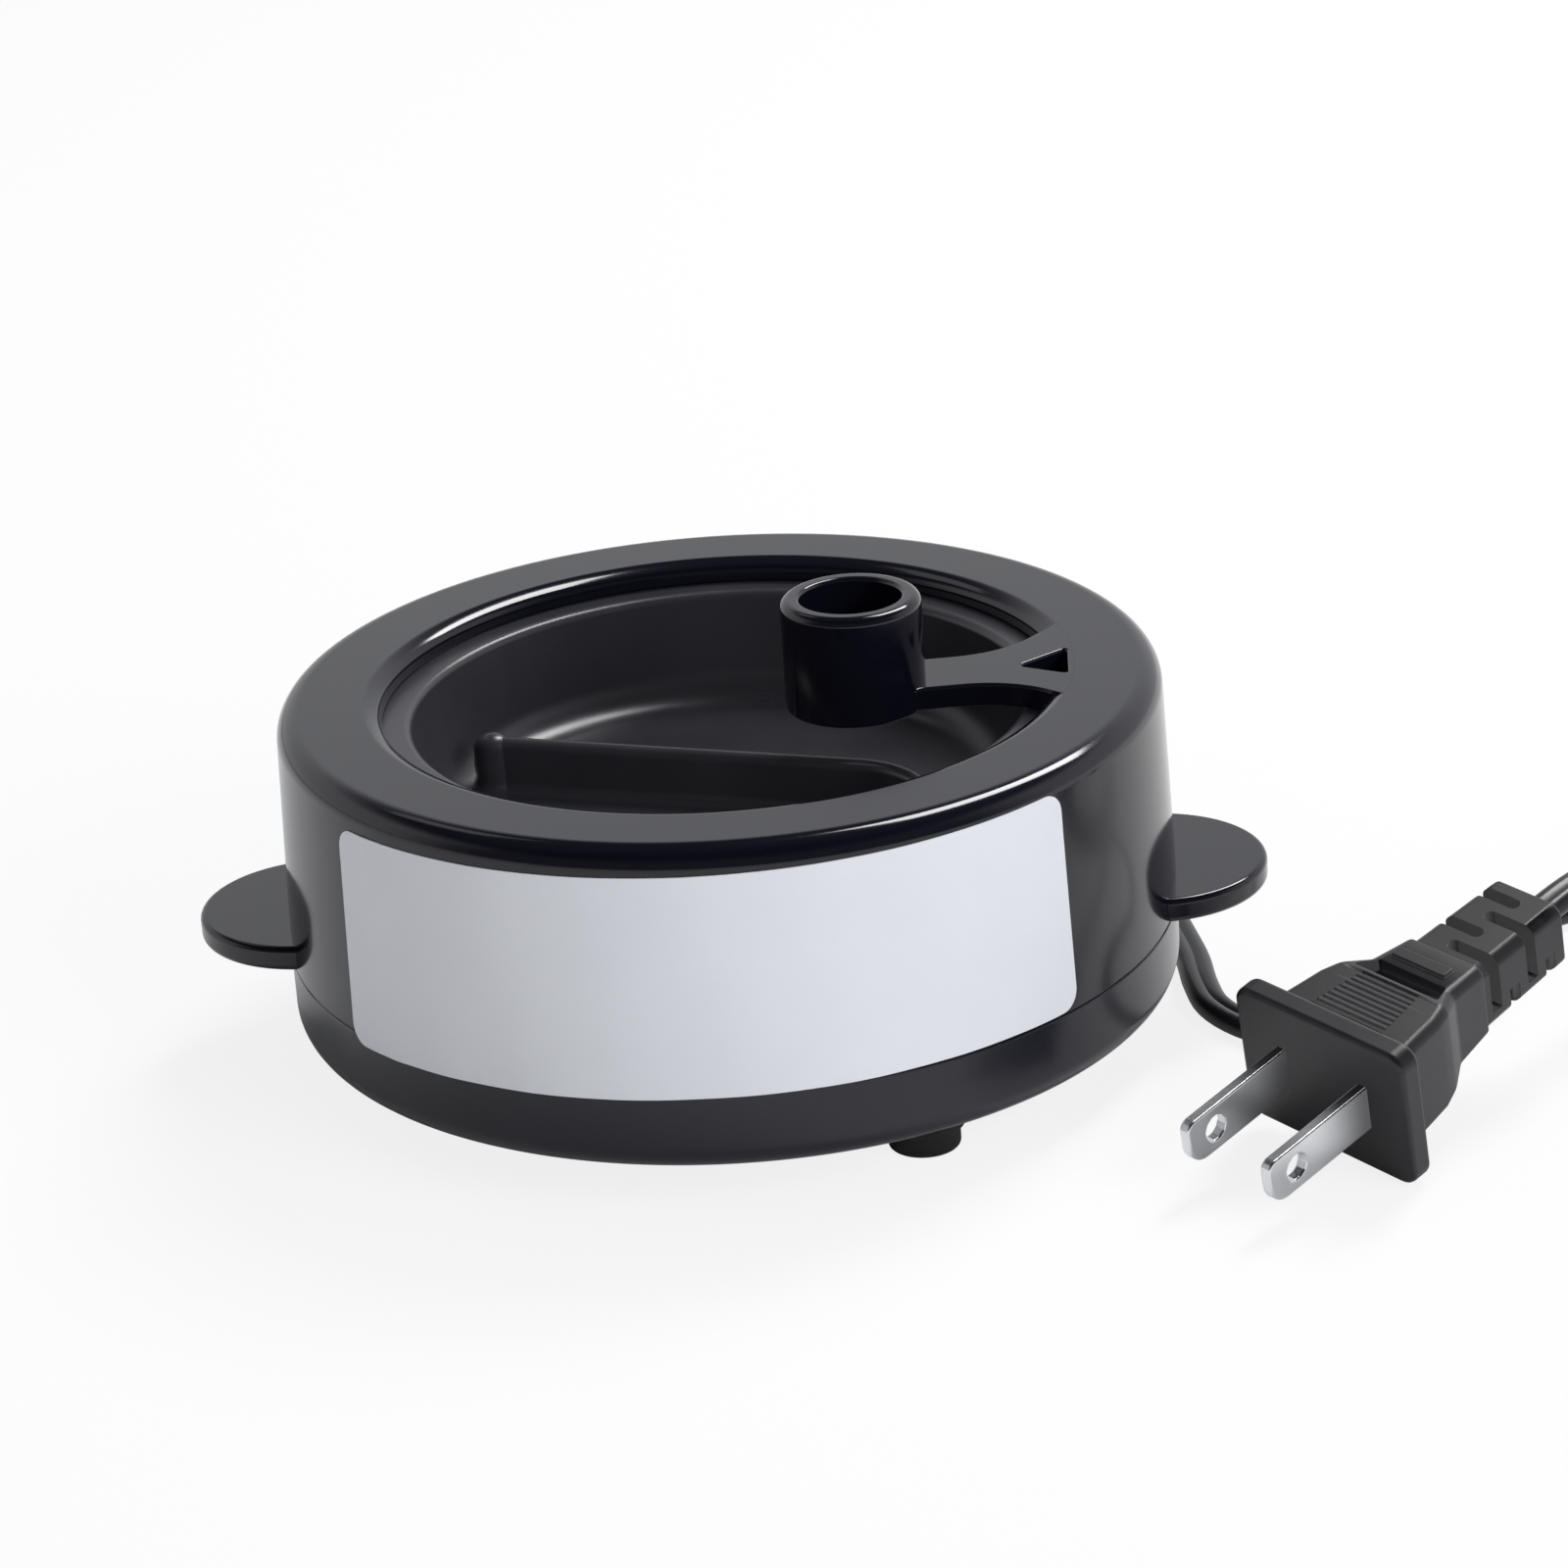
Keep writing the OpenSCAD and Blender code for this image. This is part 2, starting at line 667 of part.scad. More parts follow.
module foot_left() at_angles([foot_angles[2]], foot_r) foot();

module housing_screws() {
  color("#b9bcc0")
    at_angles(house_screw_angles, house_boss_r)
      translate([0, 0, base_z + head_seat_h])
        screw(screw_d, house_screw_l, screw_head_d, screw_head_h);
}

// Pan -----------------------------------------------------------------------------

module pan_shell() {
  rotate_extrude($fn = 180)
    polygon(rounded(
      [[0, pan_floor_z], [pan_floor_r, pan_floor_z], [pan_mouth_r, under_ring_z],
       [pan_flange_r, under_ring_z], [pan_flange_r, under_ring_z - pan_flange_t],
       [pan_mouth_r + pan_wall_t, under_ring_z - pan_flange_t],
       [pan_floor_r + pan_wall_t, pan_under_z], [0, pan_under_z]],
      [0, pan_fillet, pan_lip_round, 0.4, 0.4, 1, pan_fillet - 1, 0]
    ));
}

// Rib along the pan's middle line, round at one end and curving away at the other
module rib_outline() {
  turn = [bend_start, -rib_bend_r];
  translate([-rib_reach, 0]) circle(d = bulb_d);
  translate([-rib_reach, -rib_t / 2]) square([rib_reach + bend_start, rib_t]);
  outer = [for (k = [0:6]) turn + polar(rib_bend_r + rib_t / 2, 90 - bend_sweep * k / 6)];
  inner = [for (k = [6:-1:0]) turn + polar(rib_bend_r - rib_t / 2, 90 - bend_sweep * k / 6)];
  polygon(concat(outer, inner));
  translate(turn + polar(rib_bend_r, 90 - bend_sweep)) circle(d = rib_t);
}

module pan_lug() {
  translate([0, 0, lug_z])
    linear_extrude(height = lug_t)
      difference() {
        union() {
          translate([pan_boss_r, 0]) circle(d = boss_d);
          translate([pan_mouth_r - boss_sink, -boss_d / 2])
            square([pan_boss_r - pan_mouth_r + boss_sink, boss_d]);
        }
        translate([pan_boss_r, 0]) circle(d = screw_d + 2 * fit_gap);
      }
}

module glue_pan() {
  color("#202024")
    difference() {
      union() {
        pan_shell();
        rotate([0, 0, rib_angle]) translate([0, 0, pan_floor_z - rib_sink])
          linear_extrude(height = rib_h + rib_sink) rib_outline();
        for (a = pan_screw_angles) rotate([0, 0, a]) pan_lug();
        for (side = [-1, 1])
          translate([0, side * clamp_screw_y, stack_end_z])
            cylinder(d = clamp_boss_d, h = pan_under_z - stack_end_z + boss_root);
        translate([clip_screw_x, 0, clip_foot_z + clip_t])
          cylinder(d = clip_boss_d, h = pan_under_z - clip_foot_z - clip_t + boss_root);
      }
      for (side = [-1, 1])
        translate([0, side * clamp_screw_y, stack_end_z - over])
          cylinder(d = screw_d + 2 * fit_gap, h = clamp_screw_l - clamp_t + over + tip_gap);
      translate([clip_screw_x, 0, clip_foot_z])
        cylinder(d = small_screw_d + 2 * fit_gap, h = clip_screw_l + tip_gap);
    }
}

module pan_screws() {
  color("#b9bcc0")
    at_angles(pan_screw_angles, pan_boss_r)
      translate([0, 0, lug_z]) screw(screw_d, pan_screw_l, screw_head_d, screw_head_h);
}

// Heater --------------------------------------------------------------------------

module stack_plate(i, l, w) {
  translate([-l / 2, -w / 2, stack_top(i) - stack[i]]) cube([l, w, stack[i]]);
}

// Electrode plate with a tab that bends down to a crimp barrel, out of +X
module electrode(i) {
  top = stack_top(i);
  stack_plate(i, stone_l, stone_w);
  translate([stone_l / 2 - boss_root, -tab_w / 2, top - electrode_t])
    cube([tab_l + boss_root, tab_w, electrode_t]);
  translate([stone_l / 2 + tab_l - electrode_t, -tab_w / 2, barrel_z])
    cube([electrode_t, tab_w, top - barrel_z]);
  translate([stone_l / 2 + tab_l - electrode_t / 2, 0, barrel_z])
    rotate([0, 90, 0])
      difference() {
        cylinder(d = barrel_d, h = barrel_l + electrode_t / 2, $fn = 32);
        translate([0, 0, electrode_t / 2 + tip_gap])
          cylinder(d = wire_d + 2 * fit_gap, h = barrel_l + over, $fn = 32);
      }
}

module insulator_upper() {
  color("#cdb98a") stack_plate(0, stone_l + 2 * plate_margin, stone_w + 2 * plate_margin);
}
module electrode_upper() color("#c9cbcd") electrode(1);
module heater_stone() color("#7d7a72") stack_plate(2, stone_l, stone_w);
module electrode_lower() color("#c9cbcd") rotate([0, 0, 180]) electrode(3);
module insulator_lower() {
  color("#cdb98a") stack_plate(4, stone_l, stone_w + 2 * plate_margin);
}

module heater_clamp() {
  color("#9fa3a8")
    translate([0, 0, stack_end_z - clamp_t])
      linear_extrude(height = clamp_t)
        difference() {
          polygon(rounded_rect(clamp_w, clamp_l, 2));
          for (side = [-1, 1])
            translate([0, side * clamp_screw_y]) circle(d = screw_d + 2 * fit_gap);
        }
}

module clamp_screws() {
  color("#b9bcc0")
    for (side = [-1, 1])
      translate([0, side * clamp_screw_y, stack_end_z - clamp_t])
        screw(screw_d, clamp_screw_l, screw_head_d, screw_head_h);
}

module thermal_fuse() {
  color("#d8cfae")
    translate([fuse_x, 0, fuse_z]) rotate([90, 0, 0]) {
      cylinder(d = fuse_d, h = fuse_l, center = true);
      cylinder(d = fuse_lead_d, h = 2 * crimp_y, center = true, $fn = 32);
    }
}

module fuse_sleeve() {
  color("#e4ded0")
    translate([fuse_x, 0, fuse_z]) rotate([90, 0, 0])
      difference() {
        cylinder(r = sleeve_r, h = sleeve_l, center = true);
        cylinder(d = fuse_d + 2 * fit_gap, h = sleeve_l + over, center = true);
      }
}

// Strap over the sleeve, with one foot under the screw and one against the pan
module fuse_clip() {
  bend_r = sleeve_r + fit_gap;
  color("#9fa3a8")
    difference() {
      translate([0, clip_w / 2, 0]) rotate([90, 0, 0])
        linear_extrude(height = clip_w)
          difference() {
            union() {
              translate([fuse_x, fuse_z]) circle(r = bend_r + clip_t);
              translate([fuse_x - bend_r - clip_t, fuse_z])
                square([2 * bend_r + 2 * clip_t, pan_under_z - fuse_z]);
              translate([fuse_x, clip_foot_z])
                square([clip_screw_x - fuse_x + clip_boss_d / 2, clip_t]);
            }
            translate([fuse_x, fuse_z]) circle(r = bend_r);
            translate([fuse_x - bend_r, fuse_z]) square([2 * bend_r, pan_under_z]);
          }
      translate([clip_screw_x, 0, clip_foot_z - over])
        cylinder(d = small_screw_d + 2 * fit_gap, h = clip_t + 2 * over);
    }
}

module fuse_clip_screw() {
  color("#b9bcc0")
    translate([clip_screw_x, 0, clip_foot_z])
      screw(small_screw_d, clip_screw_l, small_head_d, small_head_h);
}

module crimp(side) {
  color("#b08d4a")
    translate([fuse_x, side * crimp_y, fuse_z]) rotate([90, 0, 0])
      difference() {
        cylinder(d = crimp_d, h = crimp_l, center = true, $fn = 48);
        translate([0, 0, -side * (crimp_l / 4 + over / 2)])
          cylinder(d = wire_d + 2 * fit_gap, h = crimp_l / 2 + over, center = true, $fn = 32);
        cylinder(d = fuse_lead_d + 2 * fit_gap, h = crimp_l + 2 * over, center = true, $fn = 32);
      }
}
module crimp_live() crimp(1);
module crimp_link() crimp(-1);

// Insulated wires inside the base, swept along hand-chosen points
core_x = 1.3;
wire_in_live = [core_x, inner_end_y, relief_z];
wire_in_neutral = [-core_x, inner_end_y, relief_z];
crimp_mouth = crimp_y + crimp_l / 2;

module live_wire() {
  color("#2a2a2e")
    flat_tube([
      wire_in_live, wire_in_live + [0, -3, 0], [fuse_x - 22, inner_end_y - 6, relief_z + 1],
      [fuse_x - 15, inner_end_y - 9, relief_z + 3], [fuse_x - 8, inner_end_y - 10, fuse_z - 2.5],
      [fuse_x - 2.5, crimp_mouth + 6.6, fuse_z - 1], [fuse_x, crimp_mouth + 2, fuse_z],
      [fuse_x, crimp_mouth - 2, fuse_z]
    ], wire_d, wire_d);
}

module link_wire() {
  color("#2a2a2e")
    flat_tube([
      [fuse_x, -crimp_mouth + 2, fuse_z], [fuse_x, -crimp_mouth - 1, fuse_z],
      [fuse_x + 1.5, -crimp_mouth - 4.5, fuse_z - 1.2], [fuse_x + 4.5, -crimp_mouth - 4, fuse_z - 3.6],
      [fuse_x + 5.5, 3.4 - crimp_mouth, barrel_z + 0.6], [fuse_x + 4.5, -6, barrel_z - 0.4],
      [fuse_x + 1.5, -1.6, barrel_z - 0.2], [barrel_x + 4, -0.2, barrel_z],
      [barrel_x + 1.5, 0, barrel_z], [barrel_x - 0.5, 0, barrel_z]
    ], wire_d, wire_d);
}

module neutral_wire() {
  color("#2a2a2e")
    flat_tube([
      wire_in_neutral, wire_in_neutral + [0, -3, 0],
      [-5, inner_end_y - 6, relief_z + 0.6], [-12, inner_end_y - 10, relief_z + 1.4],
      [-barrel_x + 0.5, inner_end_y - 17, relief_z + 2], [-barrel_x - 5, 10, barrel_z],
      [-barrel_x - 6, 3.6, barrel_z],
      [-barrel_x - 3.6, 0.3, barrel_z], [-barrel_x - 1.5, 0, barrel_z], [-barrel_x + 0.5, 0, barrel_z]
    ], wire_d, wire_d);
}

module heat_shield() {
  color("#a9acb0")
    translate([0, 0, shield_z])
      linear_extrude(height = shield_t)
        difference() {
          circle(d = shield_d);
          at_angles_2d(shield_post_angles, shield_post_r) circle(d = small_screw_d + 2 * fit_gap);
        }
}

module shield_screws() {
  color("#b9bcc0")
    at_angles(shield_post_angles, shield_post_r)
      translate([0, 0, shield_z + shield_t]) rotate([180, 0, 0])
        screw(small_screw_d, shield_screw_l, small_head_d, small_head_h);
}

// Lead and plug -------------------------------------------------------------------

module cord_clamp() {
  color("#26262a")
    translate([0, saddle_y, relief_z + cord_t / 2])
      linear_extrude(height = clamp_bar_t)
        difference() {
          polygon(rounded_rect(saddle_l - 2 * slip_gap, saddle_w - 2 * slip_gap, 1.5));
          for (side = [-1, 1])
            translate([side * saddle_screw_x, 0]) circle(d = small_screw_d + 2 * fit_gap);
        }
}

module cord_clamp_screws() {
  color("#b9bcc0")
    for (side = [-1, 1])
      translate([side * saddle_screw_x, saddle_y, relief_z + cord_t / 2 + clamp_bar_t])
        rotate([180, 0, 0]) screw(small_screw_d, saddle_screw_l, small_head_d, small_head_h);
}

module cord_inner_end() {
  start_y = relief_collar_start - fit_gap;
  color("#202024")
    flat_tube([[0, start_y, relief_z], [0, saddle_y, relief_z], [0, inner_end_y, relief_z]],
              cord_w, cord_t);
}

// Tapered relief with a neck in the housing and a collar inside it
module strain_relief() {
  color("#18181b")
    translate([0, 0, relief_z]) rotate([-90, 0, 0])
      difference() {
        rotate_extrude()
          polygon(rounded(
            [[0, relief_collar_start], [relief_collar_d / 2, relief_collar_start],
             [relief_collar_d / 2, relief_neck_start], [relief_neck_d / 2, relief_neck_start],
             [relief_neck_d / 2, relief_start + fit_gap], [relief_d / 2, relief_start + fit_gap],
             [relief_tip_d / 2, relief_end], [0, relief_end]],
            [0, 0.4, 0.4, 0, 0, 0.8, 0.6, 0]
          ));
        for (k = [0:4], side = [-1, 1])
          translate([side * (cord_w / 2 + notch_depth_x), 0,
                     relief_start + notch_first + notch_pitch * (k + (side > 0 ? 0.5 : 0))])
            cube([2 * (notch_depth_x - notch_wall), relief_d + 2 * over, notch_w], center = true);
      }
}

module cord_lead_pot() color("#202024") flat_tube(pot_route, cord_w, cord_t);
module cord_lead_plug() color("#202024") flat_tube(plug_route, cord_w, cord_t);

// Place along the coil after t turns: in and out again twice, a layer up at each end
function turn_wave(t) = abs((t % 4) > 2 ? 4 - (t % 4) : (t % 4));
function coil_layer(t) =
  let (k = floor((t + 0.25) / 2), into = t - 2 * k + 0.25)
  max(0, k - 1 + (k == 0 ? 1 : min(1, into / 0.5)));
function coil_point(t) =
  let (p = polar(coil_r - coil_step * turn_wave(t), coil_entry_angle + 360 * t))
  [coil_centre[0] + p[0], coil_centre[1] + p[1], coil_base_z + coil_rise * coil_layer(t)];
coil_steps = round(coil_turns * loop_rings);
coil_path = [for (i = [0:coil_steps]) coil_point(coil_turns * i / coil_steps)];
coil_head = [sin(coil_entry_angle), -cos(coil_entry_angle), 0] * coil_run;
coil_tail = [-sin(coil_exit_angle), cos(coil_exit_angle), 0] * coil_run;

// Least gap between turns, measured between the six-sided sections that share an angle
flank = unit([cord_t, cord_w / 2]);
function section_gap(d) = max(
  abs(d[0]) - cord_w,
  abs(d[1]) - cord_t,
  abs(d[0]) * flank[0] + abs(d[1]) * flank[1] - cord_w * flank[0]
);
coil_gap = min([for (i = [0:coil_steps - loop_rings], k = [1:7])
  let (a = coil_turns * i / coil_steps, b = a + k)
  if (b <= coil_turns)
    section_gap([coil_step * (turn_wave(b) - turn_wave(a)),
                 coil_rise * (coil_layer(b) - coil_layer(a))])]);
echo(coil_least_gap_mm = coil_gap);

module cord_coil() {
  color("#202024")
    flat_tube(concat([coil_path[0] + coil_head], coil_path,
                     [coil_path[coil_steps] + coil_tail]), cord_w, cord_t, 6);
}

// Two flat ties that hold the coil's turns together
module cord_tie() {
  inner_w = 2 * coil_step + cord_w + 2 * tie_gap;
  inner_h = 3 * coil_rise + cord_t + 2 * tie_gap;
  color("#101012")
    for (a = tie_angles)
      translate([coil_centre[0], coil_centre[1], 0]) rotate([0, 0, a])
        translate([coil_r - coil_step, tie_w / 2, tie_t + inner_h / 2]) rotate([90, 0, 0])
          linear_extrude(height = tie_w)
            difference() {
              polygon(rounded_rect(inner_w + 2 * tie_t, inner_h + 2 * tie_t, 1.6));
              polygon(rounded_rect(inner_w, inner_h, 1));
            }
}

// Plug in its own frame: front of the flange at the origin, +X towards the lead, +Z up
module lay_plug() {
  translate(plug_front) rotate([0, 0, plug_heading]) rotate([0, -plug_pitch, 0])
    rotate([plug_roll, 0, 0]) children();
}
module plug_section(x, w, h, r, t = slice_t) {
  translate([x, 0, 0]) rotate([90, 0, 90])
    linear_extrude(height = t) polygon(rounded_rect(w, h, r));
}

module plug_solid() {
  plug_section(0, flange_w, flange_h, 2.6, flange_t);
  hull() {
    plug_section(flange_t - 0.2, body_start_w, body_start_h, 2);
    plug_section(taper_x, body_start_w - 2 * body_taper, body_start_h - body_taper, 2);
  }
  hull() {
    plug_section(taper_x, body_start_w - 2 * body_taper, body_start_h - body_taper, 2);
    plug_section(neck_x, neck_w, neck_h, 1.6);
  }
  hull() {
    plug_section(neck_x, neck_w, neck_h, 1.6);
    plug_section(relief_x, plug_relief_w, plug_relief_h, 1.2);
  }
  hull() {
    plug_section(relief_x, plug_relief_w, plug_relief_h, 1.2);
    plug_section(plug_l - slice_t, plug_relief_w - body_taper, plug_relief_h - body_taper, 1.2);
  }
}

// Slot across the relief: over its top from past the middle, then down its right side to the core
module relief_slot() {
  difference() {
    translate([0, -plug_relief_w, -core_h / 2]) cube([slot_w, plug_relief_w + core_w / 4, plug_relief_h]);
    translate([-over, -core_w / 2, -core_h / 2 - over])
      cube([slot_w + 2 * over, core_w, core_h + over]);
  }
}

module plug_body() {
  color("#2a2a2d")
    lay_plug()
      difference() {
        plug_solid();
        for (k = [0:slot_count - 1])
          translate([slot_first_x + slot_pitch * k, 0, 0]) mirror([0, k % 2, 0]) relief_slot();
        for (k = [0:groove_count - 1]) {
          l = groove_l - groove_taper * k;
          translate([groove_first_x + groove_pitch * k, -l / 2, groove_floor_z]) cube([groove_w, l, 2]);
        }
        for (side = [-1, 1])
          translate([-over, side * blade_pitch / 2 - blade_t / 2 - fit_gap, -blade_w / 2 - fit_gap])
            cube([blade_root + over + fit_gap, blade_t + 2 * fit_gap, blade_w + 2 * fit_gap]);
      }
}

module blade(side) {
  color("#c8cace")
    lay_plug()
      translate([0, side * blade_pitch / 2 + blade_t / 2, 0]) rotate([90, 0, 0])
        linear_extrude(height = blade_t)
          difference() {
            polygon(rounded(
              [[blade_root, -blade_w / 2], [blade_root, blade_w / 2], [-blade_l, blade_w / 2],
               [-blade_l, -blade_w / 2]],
              [0, 0, blade_w / 4, blade_w * 0.45]
            ));
            translate([hole_to_tip - blade_l, 0]) circle(d = blade_hole_d, $fn = 32);
          }
}
module plug_blade_left() blade(1);
module plug_blade_right() blade(-1);

upper_housing();
lower_housing();
glue_pan();
side_label();
foot_front_right();
foot_rear_right();
foot_left();
housing_screws();
pan_screws();
insulator_upper();
electrode_upper();
heater_stone();
electrode_lower();
insulator_lower();
heater_clamp();
clamp_screws();
thermal_fuse();
fuse_sleeve();
fuse_clip();
fuse_clip_screw();
crimp_live();
crimp_link();
live_wire();
link_wire();
neutral_wire();
heat_shield();
shield_screws();
cord_clamp();
cord_clamp_screws();
cord_inner_end();
strain_relief();
cord_lead_pot();
cord_coil();
cord_tie();
cord_lead_plug();
plug_body();
plug_blade_left();
plug_blade_right();
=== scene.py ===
"""Floral hot glue pot: looks and materials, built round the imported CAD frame.

Sizes are in millimetres up to the last step, in which each mesh is written in metres.
The pot's axis is the Z axis, the table is at z = 0, and the lead leaves towards +Y.
"""

import json
from math import acos, atan2, ceil, cos, degrees, floor, pi, radians, sin, sqrt, tan

import bmesh
import bpy
import numpy as np
from mathutils import Matrix, Vector
from mathutils.geometry import delaunay_2d_cdt

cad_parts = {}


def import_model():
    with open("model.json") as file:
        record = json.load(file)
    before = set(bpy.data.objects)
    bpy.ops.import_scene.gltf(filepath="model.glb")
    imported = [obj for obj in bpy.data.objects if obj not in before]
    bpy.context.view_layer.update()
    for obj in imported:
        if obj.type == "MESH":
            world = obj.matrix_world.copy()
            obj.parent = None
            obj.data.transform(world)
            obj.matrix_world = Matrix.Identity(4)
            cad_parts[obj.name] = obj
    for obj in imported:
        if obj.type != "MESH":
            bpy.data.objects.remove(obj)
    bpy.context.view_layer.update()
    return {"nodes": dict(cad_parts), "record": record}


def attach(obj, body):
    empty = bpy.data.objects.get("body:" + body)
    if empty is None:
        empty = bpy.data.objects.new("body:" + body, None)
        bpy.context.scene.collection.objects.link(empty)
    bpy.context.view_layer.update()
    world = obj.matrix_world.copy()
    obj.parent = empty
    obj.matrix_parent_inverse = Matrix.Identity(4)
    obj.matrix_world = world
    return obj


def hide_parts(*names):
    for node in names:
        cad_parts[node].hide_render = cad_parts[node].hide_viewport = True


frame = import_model()
MM = 0.001

# ---------------------------------------------------------------- sizes of the pot

RING_R, SEAM_R, MOUTH_R = 56.0, 57.1, 42.8
BASE_Z, SEAM_Z, TOP_Z = 6.0, 16.3, 47.5
RING_T, WALL_T = 3.0, 2.4
UNDER_RING_Z = TOP_Z - RING_T
RING_ROUND, MOUTH_ROUND, BASE_ROUND, SEAM_ROUND = 3.0, 2.4, 3.2, 0.3
# The ring's inner edge turns down in arcs: from one angle to the next at a radius
MOUTH_ARCS, MOUTH_LOW_ROUND = [(0, 18, 1.6), (18, 32, 5.5), (32, 90, 1.47)], 0.4
# The ring goes round in this many segments; the first and last few of its inner edge belong to the bracket
RING_SEGMENTS, BRACKET_FIRST, BRACKET_LAST = 256, 5, 7
EAR_X, EAR_R, EAR_T, EAR_ROUND, EAR_SINK = 54.2, 14.6, 3.2, 0.8, 1.1
PAN_LIP_R, PAN_FLOOR_R, PAN_FLANGE_R = 39.2, 36.5, 45.5
PAN_FLOOR_Z, PAN_UNDER_Z, PAN_WALL_T, PAN_FLANGE_T = 30.3, 27.3, 2.2, 2.2
RIB_TURN, RIB_T, RIB_H, RIB_REACH = -17.2, 2.6, 7.0, 31.6
RIB_BEND_X, RIB_BEND_R, RIB_SWEEP = 18.0, 12.0, 62.0
RIB_SINK, RIB_FILLET = 0.3, 1.6
BULB_R, BULB_H = 2.4, 7.5
TUBE_X, TUBE_Y, TUBE_R, BORE_R, TUBE_TOP_Z, TUBE_FOOT_Z = 17.4, -3.85, 8.9, 6.35, 58.8, 44.3
BRACKET_TURN, BRACKET_W, BRACKET_EDGE, BRACKET_FILLET = 5.0, 10.4, 0.45, 2.0
BRACKET_START, BRACKET_LAP = 5.9, 0.02
FLARE_X, FLARE_R, FLARE_END = 13.0, 14.0, 48.0
WINDOW_TIP, WINDOW_ANGLE, WINDOW_LAP = 20.6, 68.0, 1.6
FOOT_CIRCLE_R, FOOT_ANGLES = 46.0, (-60, 60, 180)
FOOT_R, FOOT_STEP_R, FOOT_STEP_Z, FOOT_LAP = 4.5, 5.2, 2.8, 0.05
SPIGOT_GAP, SPIGOT_H, SPIGOT_T, PORT_R = 0.3, 2.7, 2.0, 3.6
SCREW_CIRCLE_R, SCREW_ANGLES, SCREW_SEAT_R, SCREW_SEAT_H = 50.7, (0, 120, 240), 3.1, 4.0
LABEL_TURN, LABEL_Z, LABEL_HALF_ANGLE, LABEL_H, LABEL_TILT = -93.2, 30.1, 50.9, 28.2, 0.9
LABEL_CORNER, LABEL_T, LABEL_GAP, LABEL_LIFT = 2.6, 0.1, 0.03, 0.06

# ------------------------------------------------------- sizes of the lead and plug

CORD_W, CORD_T, CORD_STEP = 4.6, 2.8, 2.0
RELIEF_Y, RELIEF_Z, RELIEF_L, RELIEF_R, RELIEF_TIP_R = 57.2, 16.3, 20.9, 4.8, 3.2
RELIEF_GROOVES, RELIEF_GROOVE_X, RELIEF_GROOVE_PITCH, RELIEF_GROOVE_W, RELIEF_GROOVE_D = 5, 4.2, 3.1, 1.2, 0.9
POT_ROUTE = [
    (0, 78.2, 16.3), (0, 84, 16.3), (1.6, 91.5, 15.4), (6.4, 98.5, 13.2), (13.6, 103.3, 10.2),
    (22, 105, 7), (30.5, 103.6, 4.4), (38.4, 99.2, 2.6), (44.8, 92.5, 1.8), (49, 84, 1.6),
    (51, 75, 1.6), (51.4, 66.5, 1.6), (51.9, 58.5, 1.6), (52.8, 50.5, 1.6), (54, 42, 1.6),
    (55.2, 33, 1.6), (56.6, 24, 1.6), (58, 15, 1.6), (59.2, 6.5, 1.6), (59.7, -1.7, 1.6),
    (60.8, -8.2, 1.6), (64.1, -14, 1.6), (69.2, -18.2, 1.6), (75.4, -20.5, 1.6), (82, -20.5, 1.6),
    (88.2, -18.2, 1.6), (93.3, -14, 1.6), (96.6, -8.2, 1.6), (97.7, -1.7, 1.6), (98.8, 4.7, 1.6),
    (102.1, 10.4, 1.6), (107.2, 14.6, 1.6), (113.3, 16.9, 1.6), (119.9, 16.9, 1.6),
    (126.1, 14.6, 1.8), (131.1, 10.4, 2.1), (133.4, 6.9, 2.3),
]
PLUG_ROUTE = [
    (140.8, 22, 12.9), (137.5, 18.4, 12.8), (134.3, 14.9, 12.9), (130.4, 10.6, 13.4), (126.5, 6, 14.5),
    (122.8, 1.3, 16), (119.1, -3.5, 17.7), (115.4, -8.3, 19.3), (111.7, -13, 20.5), (107.7, -17.5, 20.9),
    (103.5, -21.7, 20.4), (99.2, -25.8, 19.2),
]
COIL_X, COIL_Y, COIL_BASE_Z = 165.2, 5.2, 2.4
COIL_R, COIL_STEP, COIL_RISE = 30.0, 5.1, 3.5
COIL_ENTRY, COIL_EXIT, COIL_TURNS, COIL_STEPS_A_TURN = 193.5, 136.2, 8, 24
TIE_ANGLES, TIE_W, TIE_T, TIE_GAP = (20, 270), 6.0, 0.6, 0.3
PLUG_AT, PLUG_HEADING, PLUG_PITCH, PLUG_ROLL = (70.9, -51.6, 10.47), 42.4, 12.9, 5.1
BLADE_PITCH, BLADE_W, BLADE_T, BLADE_L, BLADE_SINK, BLADE_EDGE = 12.7, 6.35, 1.5, 17.6, 4.0, 0.28
# The last length is how far the blades' painted shade reaches from the plug's face
BLADE_CORNERS, BLADE_HOLE_R, BLADE_HOLE_BACK, BLADE_SHADE_L = [2.7, 0.1, 0.1, 1.3], 1.6, 4.6, 11
FLANGE_W, FLANGE_H, FLANGE_T, FLANGE_CORNER, FLANGE_EDGE = 26.4, 19.6, 3.2, 2.4, 0.7
# Sections of the plug's grip and of its relief, along its axis: x, half width, top, bottom
GRIP = [(2.6, 10.5, 7.2, -7.2), (11.0, 9.5, 7.0, -6.9), (13.6, 8.7, 6.9, -6.5), (17.0, 6.7, 5.9, -5.7),
        (23.4, 6.0, 5.3, -5.2)]
GRIP_CORNER, CLEAR_OF_GRIP = 0.9, 8.5
GROOVES, GROOVE_X, GROOVE_PITCH, GROOVE_W = 10, 5.2, 0.9, 0.45
GROOVE_L, GROOVE_TAPER, GROOVE_FLOOR = 11.2, 0.25, 6.3
INSET, INSET_FLOOR = [(14.2, -6.6), (17.4, -5.2), (17.4, 5.2), (14.2, 6.6)], 4.2
PAD_X, PAD_Y, PAD_L, PAD_W, PAD_LOW, PAD_TOP = 19.6, 0.4, 1.9, 8.4, 4.0, 6.15
